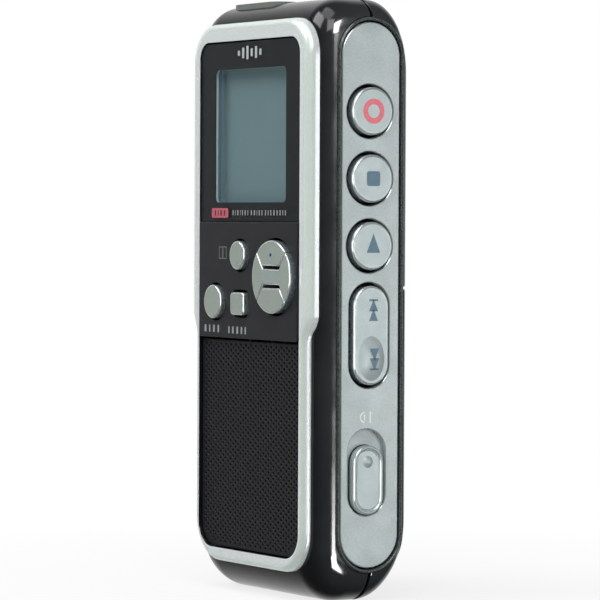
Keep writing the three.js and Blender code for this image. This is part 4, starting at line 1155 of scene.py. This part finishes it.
def side_prints():
    x, y, _, _, top = SIDE.spot("record_button")
    outlines = [disc(x + 0.15, y, 2.2), disc(x + 0.15, y, 1.2)]
    panel("print_record", SIDE, outlines, [(0, top - 0.06), (0, top - 0.022)], "record_button", "print_red")
    x, y, _, _, top = SIDE.spot("stop_button")
    square = rounded_box(x + 0.15, y, 2.75, 2.6, 0.4, 4)(0)
    print_mark("print_stop", SIDE, square, top - KEY_DIP, "stop_button", "print_blue")
    x, y, _, _, top = SIDE.spot("play_button")
    arrow = triangle(x + 0.2, y - 1.2, 2.8, 3.4)
    print_mark("print_play", SIDE, arrow, top - KEY_DIP, "play_button", "print_blue")
    x, y, _, _, _ = SIDE.spot("skip_rocker")
    skip_mark("print_previous", x + 0.4, y + 4.4, 1, ROCKER_TOP - KEY_DIP)
    skip_mark("print_next", x + 0.2, y - BUMP_DROP, -1, ROCKER_TOP - 0.1 + BUMP_RISE + 0.02)
    lock_mark()


def skip_mark(name, x, y, sign, height):
    """Two arrow heads and a bar, pointing up or down."""
    shapes = [triangle(x, y - sign * 1.85, 1.9, sign * 2.1), triangle(x, y - sign * 0.15, 1.9, sign * 2.1)]
    shapes.append(rounded_box(x, y + sign * 1.8, 1.8, 0.35, 0.05, 2)(0))
    for number, points in enumerate(shapes):
        print_mark(f"{name}_{number + 1}", SIDE, points, height, "skip_rocker", "print_blue")


def lock_mark():
    """A small sign above the hold slider: a half ring, a bar and an upright."""
    x, y = hold_centre()
    x, y = x - 0.35, y + 9.7
    bow = arc(x - 0.1, y, 1.0, QUARTER, 3 * QUARTER, 8) + arc(x - 0.1, y, 0.72, 3 * QUARTER, QUARTER, 8)
    bar = rounded_box(x - 0.1, y, 0.28, 1.0, 0.05, 2)(0)
    upright = rounded_box(x + 1.1, y, 0.3, 2.0, 0.05, 2)(0)
    for number, points in enumerate((bow, bar, upright)):
        print_mark(f"lock_sign_{number + 1}", SIDE, points, 0.03, "side_plate", "bezel_silver")


def front_prints():
    foot = FRONT.box("display_lens")[0].y
    for number, rise in enumerate(LEVEL_BARS):
        bar = rounded_box(LEVEL_LEFT + LEVEL_PITCH * number, LEVEL_Y, 0.75, rise, 0.12, 2)(0)
        print_mark(f"level_bar_{number + 1}", FRONT, bar, 0.0, "lens_mask", "print_grey")
    badge = rounded_box(BADGE_X, foot + 1.2, BADGE_WIDTH, 1.75, 0.35, 4)(0)
    print_mark("red_badge", FRONT, badge, 0.0, "lens_mask", "badge_red")
    strokes("badge_stroke", -12.2, foot + 1.2, BADGE, 0.35, 1.0, 0.02, "lens_mask", "badge_dark")
    strokes("caption_stroke", -5.8, foot + 1.25, CAPTION, 0.32, 0.95, 0.0, "lens_mask")
    x, y, _, _, _ = FRONT.spot("menu_button")
    level = FRONT.box("control_panel")[1].z
    strokes("menu_stroke", x - 4.3, y - 4.9, MENU_LEGEND, 0.45, 1.3, level, "control_panel")
    x, y, _, _, _ = FRONT.spot("erase_button")
    strokes("erase_stroke", x - 4.4, y - 4.8, ERASE_LEGEND, 0.4, 1.3, level, "control_panel")
    book_sign(level)
    volume_signs()


def strokes(name, x, y, widths, space, height, level, node, material="legend_grey"):
    """A row of plain upright blocks in place of small print."""
    for number, width in enumerate(widths):
        if width:
            block = rounded_box(x + width / 2, y, width * 0.55, height, 0.08, 2)(0)
            print_mark(f"{name}_{number + 1}", FRONT, block, level, node, material)
        x += width + space


def book_sign(level):
    """Two open pages, left of the bookmark key."""
    x, y, width, _, _ = FRONT.spot("bookmark_button", KEY_FLANGE)
    profile = [(0, level - INK_SUNK), (0, level + INK_PROUD)]
    for number, away in enumerate((4.3, 2.9)):
        page_x = x - width / 2 - away
        page = rounded_box(page_x, y + 0.4, 1.35, 2.3, 0.15, 3)
        inner = rounded_box(page_x, y + 0.4, 0.9, 1.85, 0.1, 3)
        panel(f"book_page_{number + 1}", FRONT, [page, inner], profile, "control_panel", "sign_grey")


def volume_signs():
    x, y, _, _, top = FRONT.spot("center_key")
    signs = {
        "volume_up_key": [(x, y + 3.9, 2.3, 0.5), (x, y + 3.9, 0.6, 2.0)],
        "volume_down_key": [(x, y - 3.9, 2.3, 0.5)],
        "center_key": [(x - 2.6 + 1.3 * i, y, 0.8, 1.0) for i in range(5)],
    }
    for node, blocks in signs.items():
        for number, block in enumerate(blocks):
            points = rounded_box(*block, 0.1, 2)(0)
            print_mark(f"{node}_sign_{number + 1}", FRONT, points, top - 0.012, node, "faint_blue")


def triangle(x, y, width, height):
    return [(x - width / 2, y), (x + width / 2, y), (x, y + height)]


# ---------- stage ----------

def floor():
    """A wide pale floor that fades to plain white away from the recorder."""
    mesh = bpy.data.meshes.new("floor")
    rim = [(x, y, 0) for x, y in disc(0, 0, FLOOR_RADIUS * MM, 96)(0)]
    mesh.from_pydata(rim, [], [tuple(range(len(rim)))])
    look = Look((0.86, 0.86, 0.86), 0.9).tone(400, 0.99, 1.01)
    distance = new_node(look.tree, "VectorMath", {0: look.place}, operation="LENGTH").outputs["Value"]
    fade = look.between(distance, FLOOR_WHITE, 1.0, *[reach * MM for reach in FLOOR_FADE])
    seen = calculated(look.tree, "MULTIPLY", fade, new_node(look.tree, "LightPath").outputs["Is Camera Ray"])
    look.show(mixed(look.tree, seen, look.shader, new_node(look.tree, "Emission")))
    mesh.materials.append(look.named("floor_paper"))
    sheet = bpy.data.objects.new("floor", mesh)
    bpy.context.scene.collection.objects.link(sheet)
    sheet.visible_glossy = False


def soft_light(name, azimuth, elevation, distance, width, height, power, aim=MIDDLE):
    """An area light that faces the recorder from a direction, in degrees and millimetres."""
    light = bpy.data.lights.new(name, "AREA")
    light.shape = "RECTANGLE"
    light.size = width * MM
    light.size_y = height * MM
    light.energy = power
    lamp = bpy.data.objects.new(name, light)
    away = direction(azimuth, elevation)
    lamp.location = (Vector((0, 0, aim)) + away * distance) * MM
    lamp.rotation_euler = away.to_track_quat("Z", "Y").to_euler()
    bpy.context.scene.collection.objects.link(lamp)
    return lamp


def direction(azimuth, elevation):
    """Unit vector away from the recorder; azimuth 0 is in front, 90 is at the side keys."""
    a, e = math.radians(azimuth), math.radians(elevation)
    return Vector((math.sin(a) * math.cos(e), -math.cos(a) * math.cos(e), math.sin(e)))


def windows(shells):
    """Lights that fall on one group of pieces only."""
    polished = {LOOKS["polished_rim_and_highlight"], LOOKS["side_key_silver"]}
    silver = [piece for piece in bpy.context.scene.objects
              if piece.type == "MESH" and polished & set(piece.data.materials)]
    for pieces, group in ((shells, SHELL_WINDOWS), (silver, RIM_WINDOWS)):
        for name, values in group.items():
            lit = bpy.data.collections.new(name + "_pieces")
            for piece in pieces:
                lit.objects.link(piece)
            soft_light(name, *values).light_linking.receiver_collection = lit


def lights():
    for name, values in STUDIO_LIGHTS.items():
        soft_light(name, *values)


def background(tree, colour, strength=1.0):
    return new_node(tree, "Background", {"Color": (*colour, 1), "Strength": strength})


def surroundings():
    """White for the camera, pale for matt surfaces, and nearly black with a backdrop for shiny ones."""
    world = bpy.data.worlds.new("studio")
    world.use_nodes = True
    tree = world.node_tree
    ambient = background(tree, (0.93, 0.96, 1.0), AMBIENT)
    mirrored = background(tree, (1, 1, 1), mirrored_strength(tree))
    path = new_node(tree, "LightPath")
    unseen = mixed(tree, path.outputs["Is Glossy Ray"], ambient, mirrored)
    seen = mixed(tree, path.outputs["Is Camera Ray"], unseen, background(tree, (1, 1, 1)))
    tree.links.new(seen.outputs[0], tree.nodes["World Output"].inputs["Surface"])
    bpy.context.scene.world = world


def mirrored_strength(tree):
    """What glossy surfaces see: a pale backdrop behind the recorder."""
    ray = new_node(tree, "TexCoord").outputs["Generated"]
    aim = direction(CAMERA_AZIMUTH + 180, 0)
    facing = new_node(tree, "VectorMath", {0: ray, 1: aim}, operation="DOT_PRODUCT").outputs["Value"]
    start, end = BACKDROP_EDGE
    ramp = {"Value": facing, "From Min": start, "From Max": end, "To Max": BACKDROP}
    rise = new_node(tree, "MapRange", ramp, interpolation_type="SMOOTHSTEP")
    return calculated(tree, "ADD", rise.outputs["Result"], MIRRORED)


def camera():
    target = Vector(CAMERA_TARGET) + Vector((0, 0, MIDDLE))
    away = direction(CAMERA_AZIMUTH, CAMERA_ELEVATION)
    right = (-away).cross(Vector((0, 0, 1))).normalized()
    up = right.cross(-away)
    roll = math.radians(CAMERA_ROLL)
    across = right * math.cos(roll) + up * math.sin(roll)
    upwards = up * math.cos(roll) - right * math.sin(roll)
    data = bpy.data.cameras.new("camera")
    data.lens = CAMERA_LENS
    data.sensor_width = SENSOR
    data.clip_end = 100
    eye = bpy.data.objects.new("camera", data)
    eye.matrix_world = Matrix.Translation((target + away * CAMERA_DISTANCE) * MM) @ Matrix((
        (across.x, upwards.x, away.x), (across.y, upwards.y, away.y), (across.z, upwards.z, away.z))).to_4x4()
    bpy.context.scene.collection.objects.link(eye)
    bpy.context.scene.camera = eye
    bpy.context.scene.view_settings.view_transform = "Standard"


dress_cad_nodes()
shells = [front_shell(), rear_shell()]
battery_door()
front_bezel()
display()
small_front_keys()
volume_keys()
control_panel()
speaker_grille()
side_strip()
side_ring()
transport_keys()
skip_rocker()
hold_slider()
side_prints()
front_prints()
floor()
lights()
surroundings()
windows(shells)
camera()
